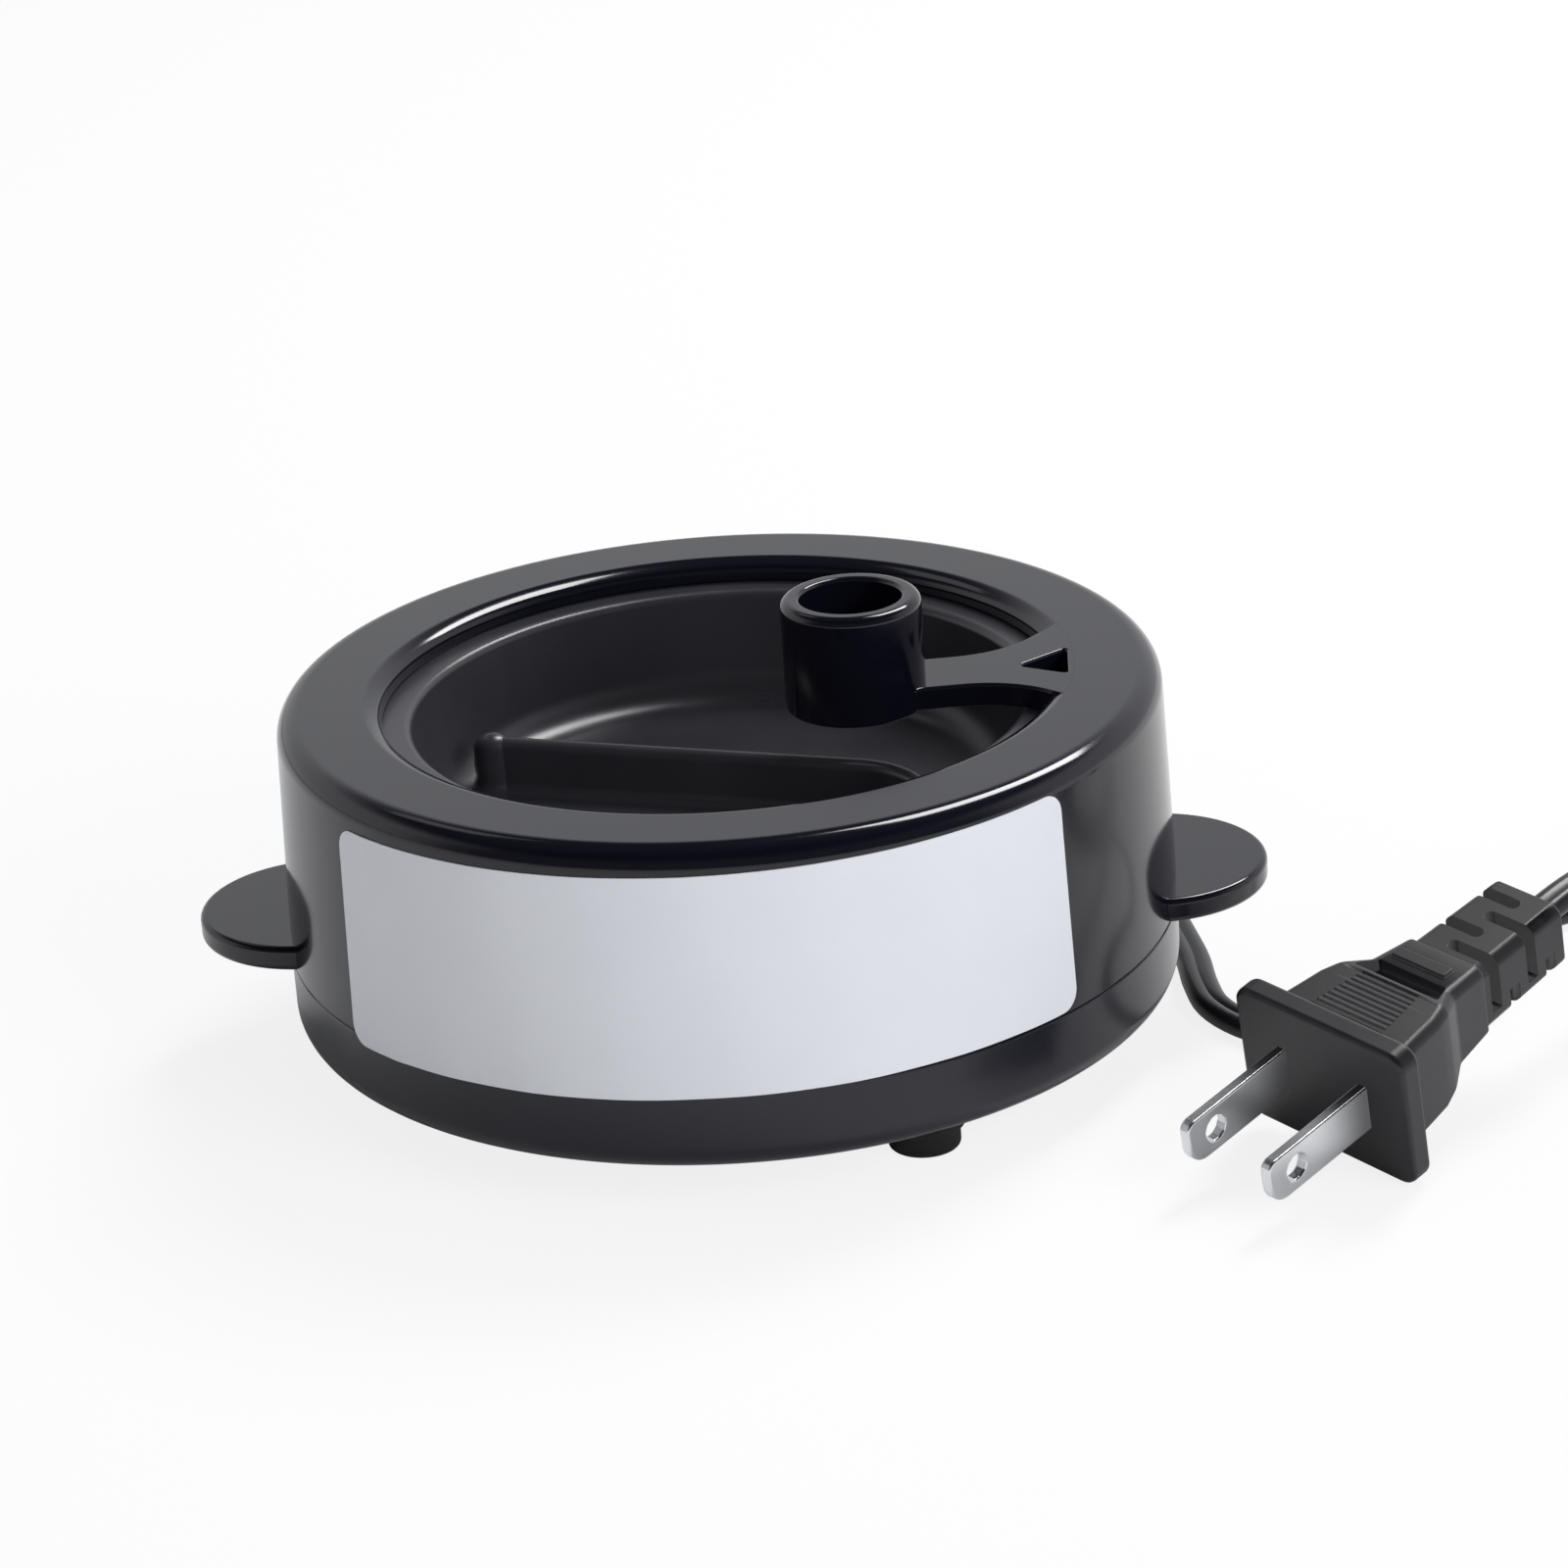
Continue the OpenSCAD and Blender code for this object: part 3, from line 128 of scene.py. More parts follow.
TAIL, TAIL_CORNER = [(23.0, 5.7, 4.9, -4.9), (39.0, 5.4, 4.6, -4.6)], 1.1
SLOTS, SLOT_X, SLOT_PITCH, SLOT_W, SLOT_ROUND = 4, 25.5, 3.5, 1.9, 0.8
# Length, reach to the side, bottom and top of the slots from above and of the notches from below
SLOT_HIGH, SLOT_LOW = (9.4, 3.5, -2.6, 6.0), (6.0, 6.6, -6.0, -1.2)
CORE_X, CORE_L, CORE_W, CORE_LOW, CORE_TOP = 30.9, 15.4, 5.4, -3.8, -1.6

# The camera's place and directions, fitted to the photo, and the point that the lamps look at, in metres;
# then half the floor's side and how white the camera sees the floor
CAMERA_AT = (0.0252, -0.5792, 0.2692)
CAMERA_RIGHT, CAMERA_UP = (0.9981, 0.0051, -0.0622), (0.0556, 0.3795, 0.9235)
LENS_MM, SENSOR_MM, CLIP_START = 112.5, 36.0, 0.01
LAMP_AIM, FLOOR_HALF, FLOOR_WHITE = (0, 0, 0.03), 6.0, 0.84


def polar(r, angle, centre=(0.0, 0.0)):
    return (centre[0] + r * cos(radians(angle)), centre[1] + r * sin(radians(angle)))


# ------------------------------------------------------------------------- camera

def make_camera():
    right, up = Vector(CAMERA_RIGHT), Vector(CAMERA_UP)
    back = right.cross(up).normalized()
    right = up.cross(back).normalized()
    up = back.cross(right)
    data = bpy.data.cameras.new("camera")
    data.lens, data.sensor_width, data.clip_start = LENS_MM, SENSOR_MM, CLIP_START
    camera = bpy.data.objects.new("camera", data)
    turn = Matrix((right, up, back)).transposed().to_4x4()
    camera.matrix_world = Matrix.Translation(CAMERA_AT) @ turn
    bpy.context.scene.collection.objects.link(camera)
    bpy.context.scene.camera = camera


make_camera()


# ------------------------------------------------------------------ mesh building

class Skin:
    """A closed mesh with the exact normal at each face corner, so that gloss shows no facets."""

    def __init__(self):
        self.points, self.index, self.faces, self.normals = [], {}, [], []

    def vertex(self, point):
        key = tuple(round(float(c), 5) for c in point)
        if key not in self.index:
            self.index[key] = len(self.points)
            self.points.append(key)
        return self.index[key]

    def face(self, points, normals):
        ids, kept = [], []
        for point, normal in zip(points, normals):
            i = self.vertex(point)
            if i not in ids:
                ids.append(i)
                kept.append(normal)
        if len(ids) > 2:
            self.faces.append(ids)
            self.normals.extend(kept)

    def sweep(self, base, out, profile, closed=True):
        """Carries (reach, height) edges round an outline of base points with outward directions."""
        count = len(base)
        for j in range(count if closed else count - 1):
            k = (j + 1) % count
            for (r0, z0, r1, z1, n0, n1) in profile:
                at = [(base[i][0] + out[i][0] * r, base[i][1] + out[i][1] * r, z)
                      for i, r, z in ((j, r0, z0), (k, r0, z0), (k, r1, z1), (j, r1, z1))]
                way = [(out[i][0] * n[0], out[i][1] * n[0], n[1])
                       for i, n in ((j, n0), (k, n0), (k, n1), (j, n1))]
                self.face(at, way)

    def lathe(self, profile, centre=(0.0, 0.0), segments=96):
        out = [polar(1.0, 360.0 * j / segments) for j in range(segments)]
        self.sweep([centre] * segments, out, profile)

    def flat(self, outer, holes, z, up=1):
        """Fills the plane region between an outline and its holes."""
        loops = [outer] + list(holes)
        points = [Vector(p[:2]) for loop in loops for p in loop]
        edges, start = [], 0
        for loop in loops:
            edges += [(start + i, start + (i + 1) % len(loop)) for i in range(len(loop))]
            start += len(loop)
        found, _, triangles = delaunay_2d_cdt(points, edges, [], 0, 1e-7)[:3]
        for triangle in triangles:
            middle = sum((found[i] for i in triangle), Vector((0, 0))) / 3
            if inside(middle, outer) and not any(inside(middle, hole) for hole in holes):
                corners = [(found[i][0], found[i][1], z) for i in triangle]
                a, b, c = (Vector(p) for p in corners)
                if (b - a).cross(c - a).z * up < 0:
                    corners.reverse()
                self.face(corners, [(0, 0, up)] * 3)

    def make(self, name, place=None):
        mesh = bpy.data.meshes.new(name)
        place = place or Matrix.Identity(4)
        turn = place.to_3x3()
        points = [place @ Vector(p) * MM for p in self.points]
        mesh.from_pydata(points, [], self.faces)
        mesh.normals_split_custom_set([(turn @ Vector(n)).normalized() for n in self.normals])
        return link(name, mesh)


def link(name, mesh):
    piece = bpy.data.objects.new(name, mesh)
    bpy.context.scene.collection.objects.link(piece)
    return piece


def inside(p, loop):
    """Whether a point lies in a closed outline."""
    hit = False
    for (x0, y0), (x1, y1) in zip([q[:2] for q in loop], [q[:2] for q in loop[1:] + loop[:1]]):
        if (y0 > p[1]) != (y1 > p[1]) and p[0] < (x1 - x0) * (p[1] - y0) / (y1 - y0) + x0:
            hit = not hit
    return hit


def rounded(points, radii, steps=6):
    """Outline with each corner rounded, as points with the direction of travel before and after each."""
    line = []
    count = len(points)
    for i, radius in enumerate(radii):
        p = Vector(points[i])
        u = (Vector(points[i - 1]) - p).normalized()
        v = (Vector(points[(i + 1) % count]) - p).normalized()
        if radius <= 0:
            line.append((p, -u, v))
            continue
        half = acos(max(-1.0, min(1.0, u.dot(v)))) / 2
        centre = p + (u + v).normalized() * radius / sin(half)
        start, end = p + u * radius / tan(half) - centre, p + v * radius / tan(half) - centre
        sweep = pi - 2 * half
        for k in range(steps + 1):
            arm = (start * sin(sweep * (1 - k / steps)) + end * sin(sweep * k / steps)) / sin(sweep)
            way = (-u * sin(sweep * (1 - k / steps)) + v * sin(sweep * k / steps)) / sin(sweep)
            line.append((centre + arm, way, way))
    return line


def profile(points, radii, steps=8, closed=True):
    """Edges of a rounded (reach, height) outline with the normal at both ends. The solid is on its left."""
    line = rounded(points, radii, steps)
    edges = []
    for i in range(len(line) if closed else len(line) - 1):
        (p, _, after), (q, before, _) = line[i], line[(i + 1) % len(line)]
        if (q - p).length > 1e-6 and not (abs(p[0]) < 1e-9 and abs(q[0]) < 1e-9):
            edges.append((p[0], p[1], q[0], q[1], (after[1], -after[0]), (before[1], -before[0])))
    return edges


def outline(line):
    """Points and outward directions of a rounded outline that runs anticlockwise."""
    base, out = [], []
    for p, before, after in line:
        way = (before + after).normalized()
        base.append((p[0], p[1]))
        stretch = 1 / max(0.5, way.dot(after))
        out.append((way[1] * stretch, -way[0] * stretch))
    return base, out


def plate(skin, line, holes, low, high, edge, steps=4):
    """Flat solid with rounded edges between two heights."""
    base, out = outline(line)
    skin.sweep(base, out, side_profile(low, high, edge, steps))
    rims = []
    for hole in holes:
        points, away = outline(hole)
        points, away = points[::-1], [(-x, -y) for x, y in away[::-1]]
        skin.sweep(points, away, side_profile(low, high, edge, steps))
        rims.append([(p[0] - a[0] * edge, p[1] - a[1] * edge) for p, a in zip(points, away)])
    rim = [(p[0] - a[0] * edge, p[1] - a[1] * edge) for p, a in zip(base, out)]
    skin.flat(rim, rims, high, 1)
    skin.flat(rim, rims, low, -1)


def side_profile(low, high, edge, steps):
    """Upright side with both edges rounded."""
    line = [(-edge, low, (0, -1))]
    for k in range(1, steps + 1):
        a = radians(-90 + 90 * k / steps)
        line.append((-edge + edge * cos(a), low + edge + edge * sin(a), (cos(a), sin(a))))
    for k in range(steps + 1):
        a = radians(90 * k / steps)
        line.append((-edge + edge * cos(a), high - edge + edge * sin(a), (cos(a), sin(a))))
    return [(p[0], p[1], q[0], q[1], p[2], q[2]) for p, q in zip(line, line[1:])]


def finished(piece, name):
    """The piece with its modifiers applied, as a plain mesh."""
    shape = bpy.data.meshes.new_from_object(piece.evaluated_get(bpy.context.evaluated_depsgraph_get()))
    bpy.data.objects.remove(piece)
    shape.name = name
    return link(name, shape)


def cut(piece, tools, name, angle=30):
    """The piece less its tools, with smooth shading up to an angle."""
    for tool in tools:
        modifier = piece.modifiers.new("cut", "BOOLEAN")
        modifier.operation, modifier.solver, modifier.object = "DIFFERENCE", "EXACT", tool
    bpy.context.view_layer.update()
    piece = finished(piece, name)
    for tool in tools:
        bpy.data.objects.remove(tool)
    return evened(piece, name, angle)


def evened(piece, name, angle):
    """Smooth shading up to an angle, with normals that follow the large faces."""
    piece.data.shade_smooth()
    piece.data.set_sharp_from_angle(angle=radians(angle))
    piece.modifiers.new("even", "WEIGHTED_NORMAL").keep_sharp = True
    return finished(piece, name)


def block(name, line, low, high, edge=0.0, place=None):
    """Plain or edge-rounded solid from an outline."""
    skin = Skin()
    if edge:
        plate(skin, line, [], low, high, edge, 3)
    else:
        base, out = outline(line)
        skin.sweep(base, out, [(0, low, 0, high, (1, 0), (1, 0))])
        skin.flat(base, [], high, 1)
        skin.flat(base, [], low, -1)
    return skin.make(name, place)


def box_line(w, h, r, steps=5, at=(0.0, 0.0)):
    x, y = at
    corners = [(x - w / 2, y - h / 2), (x + w / 2, y - h / 2), (x + w / 2, y + h / 2), (x - w / 2, y + h / 2)]
    return rounded(corners, [r] * 4, steps)


# ---------------------------------------------------------------------- materials

def linear(code):
    """sRGB hex value to a linear colour."""
    parts = [int(code[i:i + 2], 16) / 255 for i in (1, 3, 5)]
    return [c / 12.92 if c <= 0.04045 else ((c + 0.055) / 1.055) ** 2.4 for c in parts] + [1.0]


def add(tree, kind, inputs=(), **settings):
    """Adds a node: settings are its properties, and inputs gives a value or another node's output to a socket."""
    node = tree.nodes.new(kind)
    for key, value in settings.items():
        setattr(node, key, value)
    for key, value in dict(inputs).items():
        if isinstance(value, bpy.types.NodeSocket):
            tree.links.new(value, node.inputs[key])
        else:
            node.inputs[key].default_value = value
    return node


def material(name, colour, other, roughness, spread, grain_mm, grain_depth_mm, patch_mm=14.0, stretch=(1, 1, 1),
             **fixed):
    """A surface with patchy colour and roughness and a fine grain, all at real sizes in millimetres.

    The noise stays near the middle of its range, so 2.5 spreads stand for its whole range.
    """
    made = bpy.data.materials.new(name)
    made.use_nodes = True
    tree = made.node_tree
    tree.nodes.clear()
    place = add(tree, "ShaderNodeTexCoord")
    turned = add(tree, "ShaderNodeMapping", {"Vector": place.outputs["Object"], "Scale": stretch})
    where = turned.outputs[0]
    patches = add(tree, "ShaderNodeTexNoise", {"Vector": where, "Scale": 1 / (patch_mm * MM), "Detail": 3.0,
                                               "Roughness": 0.55})
    grain = add(tree, "ShaderNodeTexNoise", {"Vector": where, "Scale": 1 / (grain_mm * MM), "Detail": 2.0,
                                             "Roughness": 0.5})
    tint = add(tree, "ShaderNodeMix", {"Factor": patches.outputs["Fac"]}, data_type="RGBA")
    tint.inputs[6].default_value, tint.inputs[7].default_value = linear(colour), linear(other)
    rough = add(tree, "ShaderNodeMath", {0: patches.outputs["Fac"], 1: 2.5 * spread, 2: roughness - 1.25 * spread},
                operation="MULTIPLY_ADD")
    bump = add(tree, "ShaderNodeBump", {"Height": grain.outputs["Fac"], "Distance": grain_depth_mm * MM,
                                        "Strength": 1.0})
    shader = add(tree, "ShaderNodeBsdfPrincipled", {"Base Color": tint.outputs[2], "Roughness": rough.outputs[0],
                                                    "Normal": bump.outputs[0], **fixed})
    add(tree, "ShaderNodeOutputMaterial", {"Surface": shader.outputs[0]})
    return made


# Moulded ABS out of a polished tool: deep black with a mirror gloss and a faint orange peel
GLOSS = material("black_abs_polished", "#0c0c17", "#0e0e19", 0.12, 0.015, 3.0, 0.0006, 20.0, IOR=1.5)
# The same ABS out of a finely blasted tool: a little duller than the upper housing
BASE = material("black_abs_satin", "#0e0e19", "#11111d", 0.18, 0.04, 0.5, 0.0012, 20.0, IOR=1.5)
# Cast aluminium under a baked non-stick coat: dark, soft sheen, fine pebbled skin
COAT = material("non_stick_coat", "#2b2b30", "#323238", 0.3, 0.05, 0.45, 0.004, 9.0, IOR=1.5)
# Polypropylene film with a satin print face: white, slightly cool
FILM = material("white_label_film", "#dfe1e8", "#e6e8ee", 0.34, 0.05, 0.35, 0.0008, 18.0, IOR=1.49)
# Moulded soft PVC: charcoal, fine spark-eroded skin
PVC = material("charcoal_pvc", "#151418", "#1a191d", 0.42, 0.05, 0.35, 0.004, 7.0, IOR=1.52)
# Extruded PVC jacket: black, satin, faint lines of the die
JACKET = material("lead_jacket_pvc", "#131316", "#18181b", 0.36, 0.04, 0.5, 0.002, 12.0, IOR=1.52)
# Moulded rubber: matte black
RUBBER = material("black_rubber", "#111113", "#161618", 0.62, 0.05, 0.4, 0.004, 6.0, IOR=1.52)
# Nickel on brass strip, drawn lengthways: bright with fine lines
NICKEL = material("nickel_blade", "#dcdde0", "#e6e7e9", 0.26, 0.03, 0.25, 0.0006, 5.0, (0.15, 1, 1), Metallic=1.0)
# Woven hook-and-loop tape: matte black pile
TAPE = material("hook_tape", "#0d0d0f", "#151517", 0.9, 0.04, 0.5, 0.06, 3.0)
# The pieces inside, which no view from outside shows
ZINC = material("zinc_plated_steel", "#a9adb2", "#b9bcc1", 0.32, 0.06, 0.3, 0.002, 2.0, Metallic=1.0)
MICA = material("mica_sheet", "#b9a473", "#cbb98c", 0.38, 0.08, 0.8, 0.01, 4.0, (1, 1, 5))
ALUMINIUM = material("rolled_aluminium", "#bfc1c4", "#cccdd0", 0.3, 0.06, 0.3, 0.002, 6.0, (0.2, 1, 1), Metallic=1.0)
STONE = material("sintered_ceramic", "#6b665e", "#87817a", 0.75, 0.06, 0.5, 0.02, 2.0)
STEEL = material("pressed_steel", "#84888d", "#9a9ea3", 0.35, 0.06, 0.4, 0.003, 5.0, Metallic=1.0)
FUSE = material("fuse_case_brass", "#b8a874", "#c7b98a", 0.35, 0.05, 0.4, 0.003, 3.0, Metallic=1.0)
SLEEVE = material("glass_braid", "#d3ccbc", "#e3ddd0", 0.7, 0.05, 0.6, 0.05, 2.0)
BRASS = material("crimp_brass", "#a5823f", "#b99450", 0.3, 0.05, 0.4, 0.003, 3.0, Metallic=1.0)
SILICONE = material("silicone_wire", "#202023", "#29292c", 0.5, 0.05, 0.5, 0.003, 5.0)
SHEET = material("bright_steel_sheet", "#a6a9ad", "#b4b7bb", 0.26, 0.06, 0.3, 0.002, 8.0, (0.2, 1, 1), Metallic=1.0)
BAR = material("black_nylon_bar", "#1c1c1f", "#232326", 0.5, 0.05, 0.4, 0.004, 6.0)


def plug_place():
    """The plug's frame in the pot's: its face at the origin, the blades along -X and the lead along +X."""
    return (Matrix.Translation(PLUG_AT) @ Matrix.Rotation(radians(PLUG_HEADING), 4, "Z")
            @ Matrix.Rotation(radians(-PLUG_PITCH), 4, "Y") @ Matrix.Rotation(radians(PLUG_ROLL), 4, "X"))


def paint_root_shade():
    """Paints shade into the blades' nickel colour, darker towards the plug's face."""
    tree = NICKEL.node_tree
    shader = next(node for node in tree.nodes if node.type == "BSDF_PRINCIPLED")
    metal = shader.inputs["Base Color"].links[0].from_socket
    ahead = plug_place().to_3x3() @ Vector((-1, 0, 0))
    spot = add(tree, "ShaderNodeNewGeometry").outputs["Position"]
    offset = add(tree, "ShaderNodeVectorMath", {0: spot, 1: Vector(PLUG_AT) * MM}, operation="SUBTRACT")
    reach = add(tree, "ShaderNodeVectorMath", {0: offset.outputs[0], 1: ahead}, operation="DOT_PRODUCT")
    share = add(tree, "ShaderNodeMapRange", {"Value": reach.outputs["Value"], "From Min": 0.0,
                                             "From Max": BLADE_SHADE_L * MM, "To Min": 0.14, "To Max": 1.0},
                interpolation_type="SMOOTHSTEP")
    shade = add(tree, "ShaderNodeVectorMath", {0: metal, "Scale": share.outputs[0]}, operation="SCALE")
    tree.links.new(shade.outputs[0], shader.inputs["Base Color"])


# Painted shade on the blades' roots beside the plug's face
paint_root_shade()

SLOT_LOOKS = {
    "gloss_housing": GLOSS, "satin_base": BASE, "nonstick_pan": COAT, "blank_label": FILM, "foot_rubber": RUBBER,
    "zinc_screw": ZINC, "mica": MICA, "electrode_plate": ALUMINIUM, "ceramic_stone": STONE, "clamp_steel": STEEL,
    "fuse_case": FUSE, "glass_sleeve": SLEEVE, "crimp_brass": BRASS, "wire_jacket": SILICONE, "shield_steel": SHEET,
    "clamp_plastic": BAR, "relief_rubber": PVC, "lead_jacket": JACKET, "tie_plastic": TAPE, "plug_plastic": PVC,
    "blade_steel": NICKEL,
}


def settle(piece, slot, *nodes):
    """Gives a piece its finish, lets it ride on the pot and stand for its CAD nodes."""
    piece.data.materials.clear()
    piece.data.materials.append(SLOT_LOOKS[slot])
    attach(piece, "root")
    if nodes:
        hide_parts(*nodes)
    return piece


# ----------------------------------------------------------------- lead and its coil

def turn_wave(t):
    """Place across the coil's layers: in and out again every four turns."""
    return 4 - t % 4 if t % 4 > 2 else t % 4


def coil_layer(t):
    """Layer of the coil after t turns: two turns lie in each, with a short rise to the next."""
    k = floor((t + 0.25) / 2)
    return max(0.0, k - 1 + (1 if k == 0 else min(1.0, (t - 2 * k + 0.25) / 0.5)))


def coil_point(t):
    """Point of the lead after t turns of its coil."""
    x, y = polar(COIL_R - COIL_STEP * turn_wave(t), COIL_ENTRY + 360 * t, (COIL_X, COIL_Y))
    return (x, y, COIL_BASE_Z + COIL_RISE * coil_layer(t))


def along(points, step):
    """Smooth line through the points, with a point about every step."""
    p = np.array(points, float)
    h = np.linalg.norm(np.diff(p, axis=0), axis=1)
    slope = np.diff(p, axis=0) / h[:, None]
    between = (slope[:-1] * h[1:, None] + slope[1:] * h[:-1, None]) / (h[:-1] + h[1:])[:, None]
    tangent = np.vstack([slope[:1], between, slope[-1:]])
    line = []
    for i, length in enumerate(h):
        for t in np.arange(0, 1, 1 / max(1, ceil(length / step))):
            a, b = (1 + 2 * t) * (1 - t) ** 2, t * t * (3 - 2 * t)
            c, d = t * (1 - t) ** 2 * length, t * t * (t - 1) * length
            line.append(a * p[i] + b * p[i + 1] + c * tangent[i] + d * tangent[i + 1])
    return np.array(line + [p[-1]])


def cord_section(w, t, waist=0.3, steps=7):
    """Flat two-core lead: two round cores side by side with a shallow groove between them."""
    r = t / 2
    c = w / 2 - r
    half = [(c + r * cos(a), r * sin(a)) for a in np.linspace(-pi / 2, pi / 2, 2 * steps - 1)]
    mid = [(c * 0.5, r - waist * 0.25), (0.0, r - waist), (-c * 0.5, r - waist * 0.25)]
    return half + mid + [(-x, -y) for x, y in half] + [(-x, -y) for x, y in mid]


def tube_mesh(name, line, section):
    """Sweeps a section along a line, level across it, and closes both ends."""
    way = np.gradient(line, axis=0)
    way /= np.linalg.norm(way, axis=1)[:, None]
    across = np.cross(way, (0, 0, 1.0))
    across /= np.linalg.norm(across, axis=1)[:, None]
    up = np.cross(across, way)
    s = np.array(section)
    rings = line[:, None] + across[:, None] * s[None, :, 0, None] + up[:, None] * s[None, :, 1, None]
    n, m = len(line), len(section)
    faces = [(i * m + j, i * m + (j + 1) % m, (i + 1) * m + (j + 1) % m, (i + 1) * m + j)
             for i in range(n - 1) for j in range(m)]
    faces += [tuple(range(m))[::-1], tuple((n - 1) * m + j for j in range(m))]
    mesh = bpy.data.meshes.new(name)
    mesh.from_pydata((rings.reshape(-1, 3) * MM).tolist(), [], faces)
    mesh.shade_smooth()
    piece = link(name, mesh)
    outwards(piece)
    mesh.set_sharp_from_angle(angle=radians(50))
    return piece


def outwards(piece):
    """Turns all faces of a closed piece outwards."""
    shape = bmesh.new()
    shape.from_mesh(piece.data)
    bmesh.ops.recalc_face_normals(shape, faces=shape.faces)
    shape.to_mesh(piece.data)
    shape.free()


def lead():
    """The whole flat lead as one tube, from the pot through the coil to the plug, and its line."""
    turns = COIL_TURNS + (COIL_EXIT - COIL_ENTRY) / 360
    steps = round(turns * COIL_STEPS_A_TURN)
    coil = [coil_point(turns * i / steps) for i in range(steps + 1)]
    way_in = polar(CORD_W, COIL_ENTRY - 90, coil[0][:2]) + (coil[0][2],)
    way_out = polar(CORD_W, COIL_EXIT + 90, coil[-1][:2]) + (coil[-1][2],)
    line = along(POT_ROUTE + [way_in] + coil + [way_out] + PLUG_ROUTE[1:], CORD_STEP)
    piece = settle(tube_mesh("flat_lead", line, cord_section(CORD_W, CORD_T)), "lead_jacket",
                   "cord_lead_pot", "cord_coil", "cord_lead_plug")
    return piece, line


def relief():
    """Tapered strain relief with a row of grooves, where the lead leaves the pot."""
    slope = (RELIEF_R - RELIEF_TIP_R) / RELIEF_L
    points, radii = [(0.0, 0.0), (RELIEF_R, 0.0)], [0, 0.5]
    w, d = RELIEF_GROOVE_W, RELIEF_GROOVE_D
    for k in range(RELIEF_GROOVES):
        x = RELIEF_GROOVE_X + RELIEF_GROOVE_PITCH * k
        r = RELIEF_R - slope * x
        points += [(r, x), (r - d, x), (r - d - slope, x + w), (r - slope * w, x + w)]
        radii += [0.25, 0.2, 0.2, 0.25]
    points += [(RELIEF_TIP_R, RELIEF_L), (0.0, RELIEF_L)]
    radii += [0.7, 0]
    skin = Skin()
    skin.lathe(profile(points, radii, 4), segments=48)
    place = Matrix.Translation((0, RELIEF_Y, RELIEF_Z)) @ Matrix.Rotation(radians(-90), 4, "X")
    return settle(skin.make("pot_strain_relief", place), "relief_rubber", "strain_relief")


def ties():
    """Two soft ties round the coil's turns."""
    pieces = []
    inner_w, inner_h = 2 * COIL_STEP + CORD_W + 2 * TIE_GAP, 3 * COIL_RISE + 3.0 + 2 * TIE_GAP
    loop, out = outline(rounded([(-inner_w / 2, 0), (inner_w / 2, 0), (inner_w / 2, inner_h),
                                 (-inner_w / 2, inner_h)], [2.2] * 4, 7))
    band = profile([(0, -TIE_W / 2), (TIE_T, -TIE_W / 2), (TIE_T, TIE_W / 2), (0, TIE_W / 2)],
                   [0.05, 0.2, 0.2, 0.05], 3)
    for n, angle in enumerate(TIE_ANGLES):
        skin = Skin()
        skin.sweep(loop, out, band)
        x, y = polar(COIL_R - COIL_STEP, angle, (COIL_X, COIL_Y))
        place = (Matrix.Translation((x, y, TIE_T)) @ Matrix.Rotation(radians(angle), 4, "Z")
                 @ Matrix.Rotation(radians(90), 4, "X"))
        pieces.append(skin.make(f"coil_tie_{n + 1}", place))
    settle(pieces[0], "tie_plastic", "cord_tie")
    settle(pieces[1], "tie_plastic")
    return pieces


# ------------------------------------------------------------------------ the plug

def loft(name, sections, corner, place, bevel=0.45):
    """Box-like body through (x, half width, top, bottom) sections, with rounded edges."""
    points, faces = [], []
    for x, w, top, low in sections:
        points += [(x, -w, low + corner), (x, -w + corner, low), (x, w - corner, low), (x, w, low + corner),
                   (x, w, top - corner), (x, w - corner, top), (x, -w + corner, top), (x, -w, top - corner)]
    for i in range(len(sections) - 1):
        faces += [(8 * i + j, 8 * i + (j + 1) % 8, 8 * i + 8 + (j + 1) % 8, 8 * i + 8 + j) for j in range(8)]
    faces += [tuple(range(8)), tuple(8 * len(sections) - 8 + j for j in range(8))]
    mesh = bpy.data.meshes.new(name)
    mesh.from_pydata([place @ Vector(p) * MM for p in points], [], faces)
    piece = link(name, mesh)
    outwards(piece)
    rim = piece.modifiers.new("rim", "BEVEL")
    rim.width, rim.segments, rim.limit_method, rim.angle_limit = bevel * MM, 3, "ANGLE", radians(12)
    return evened(finished(piece, name), name, 28)


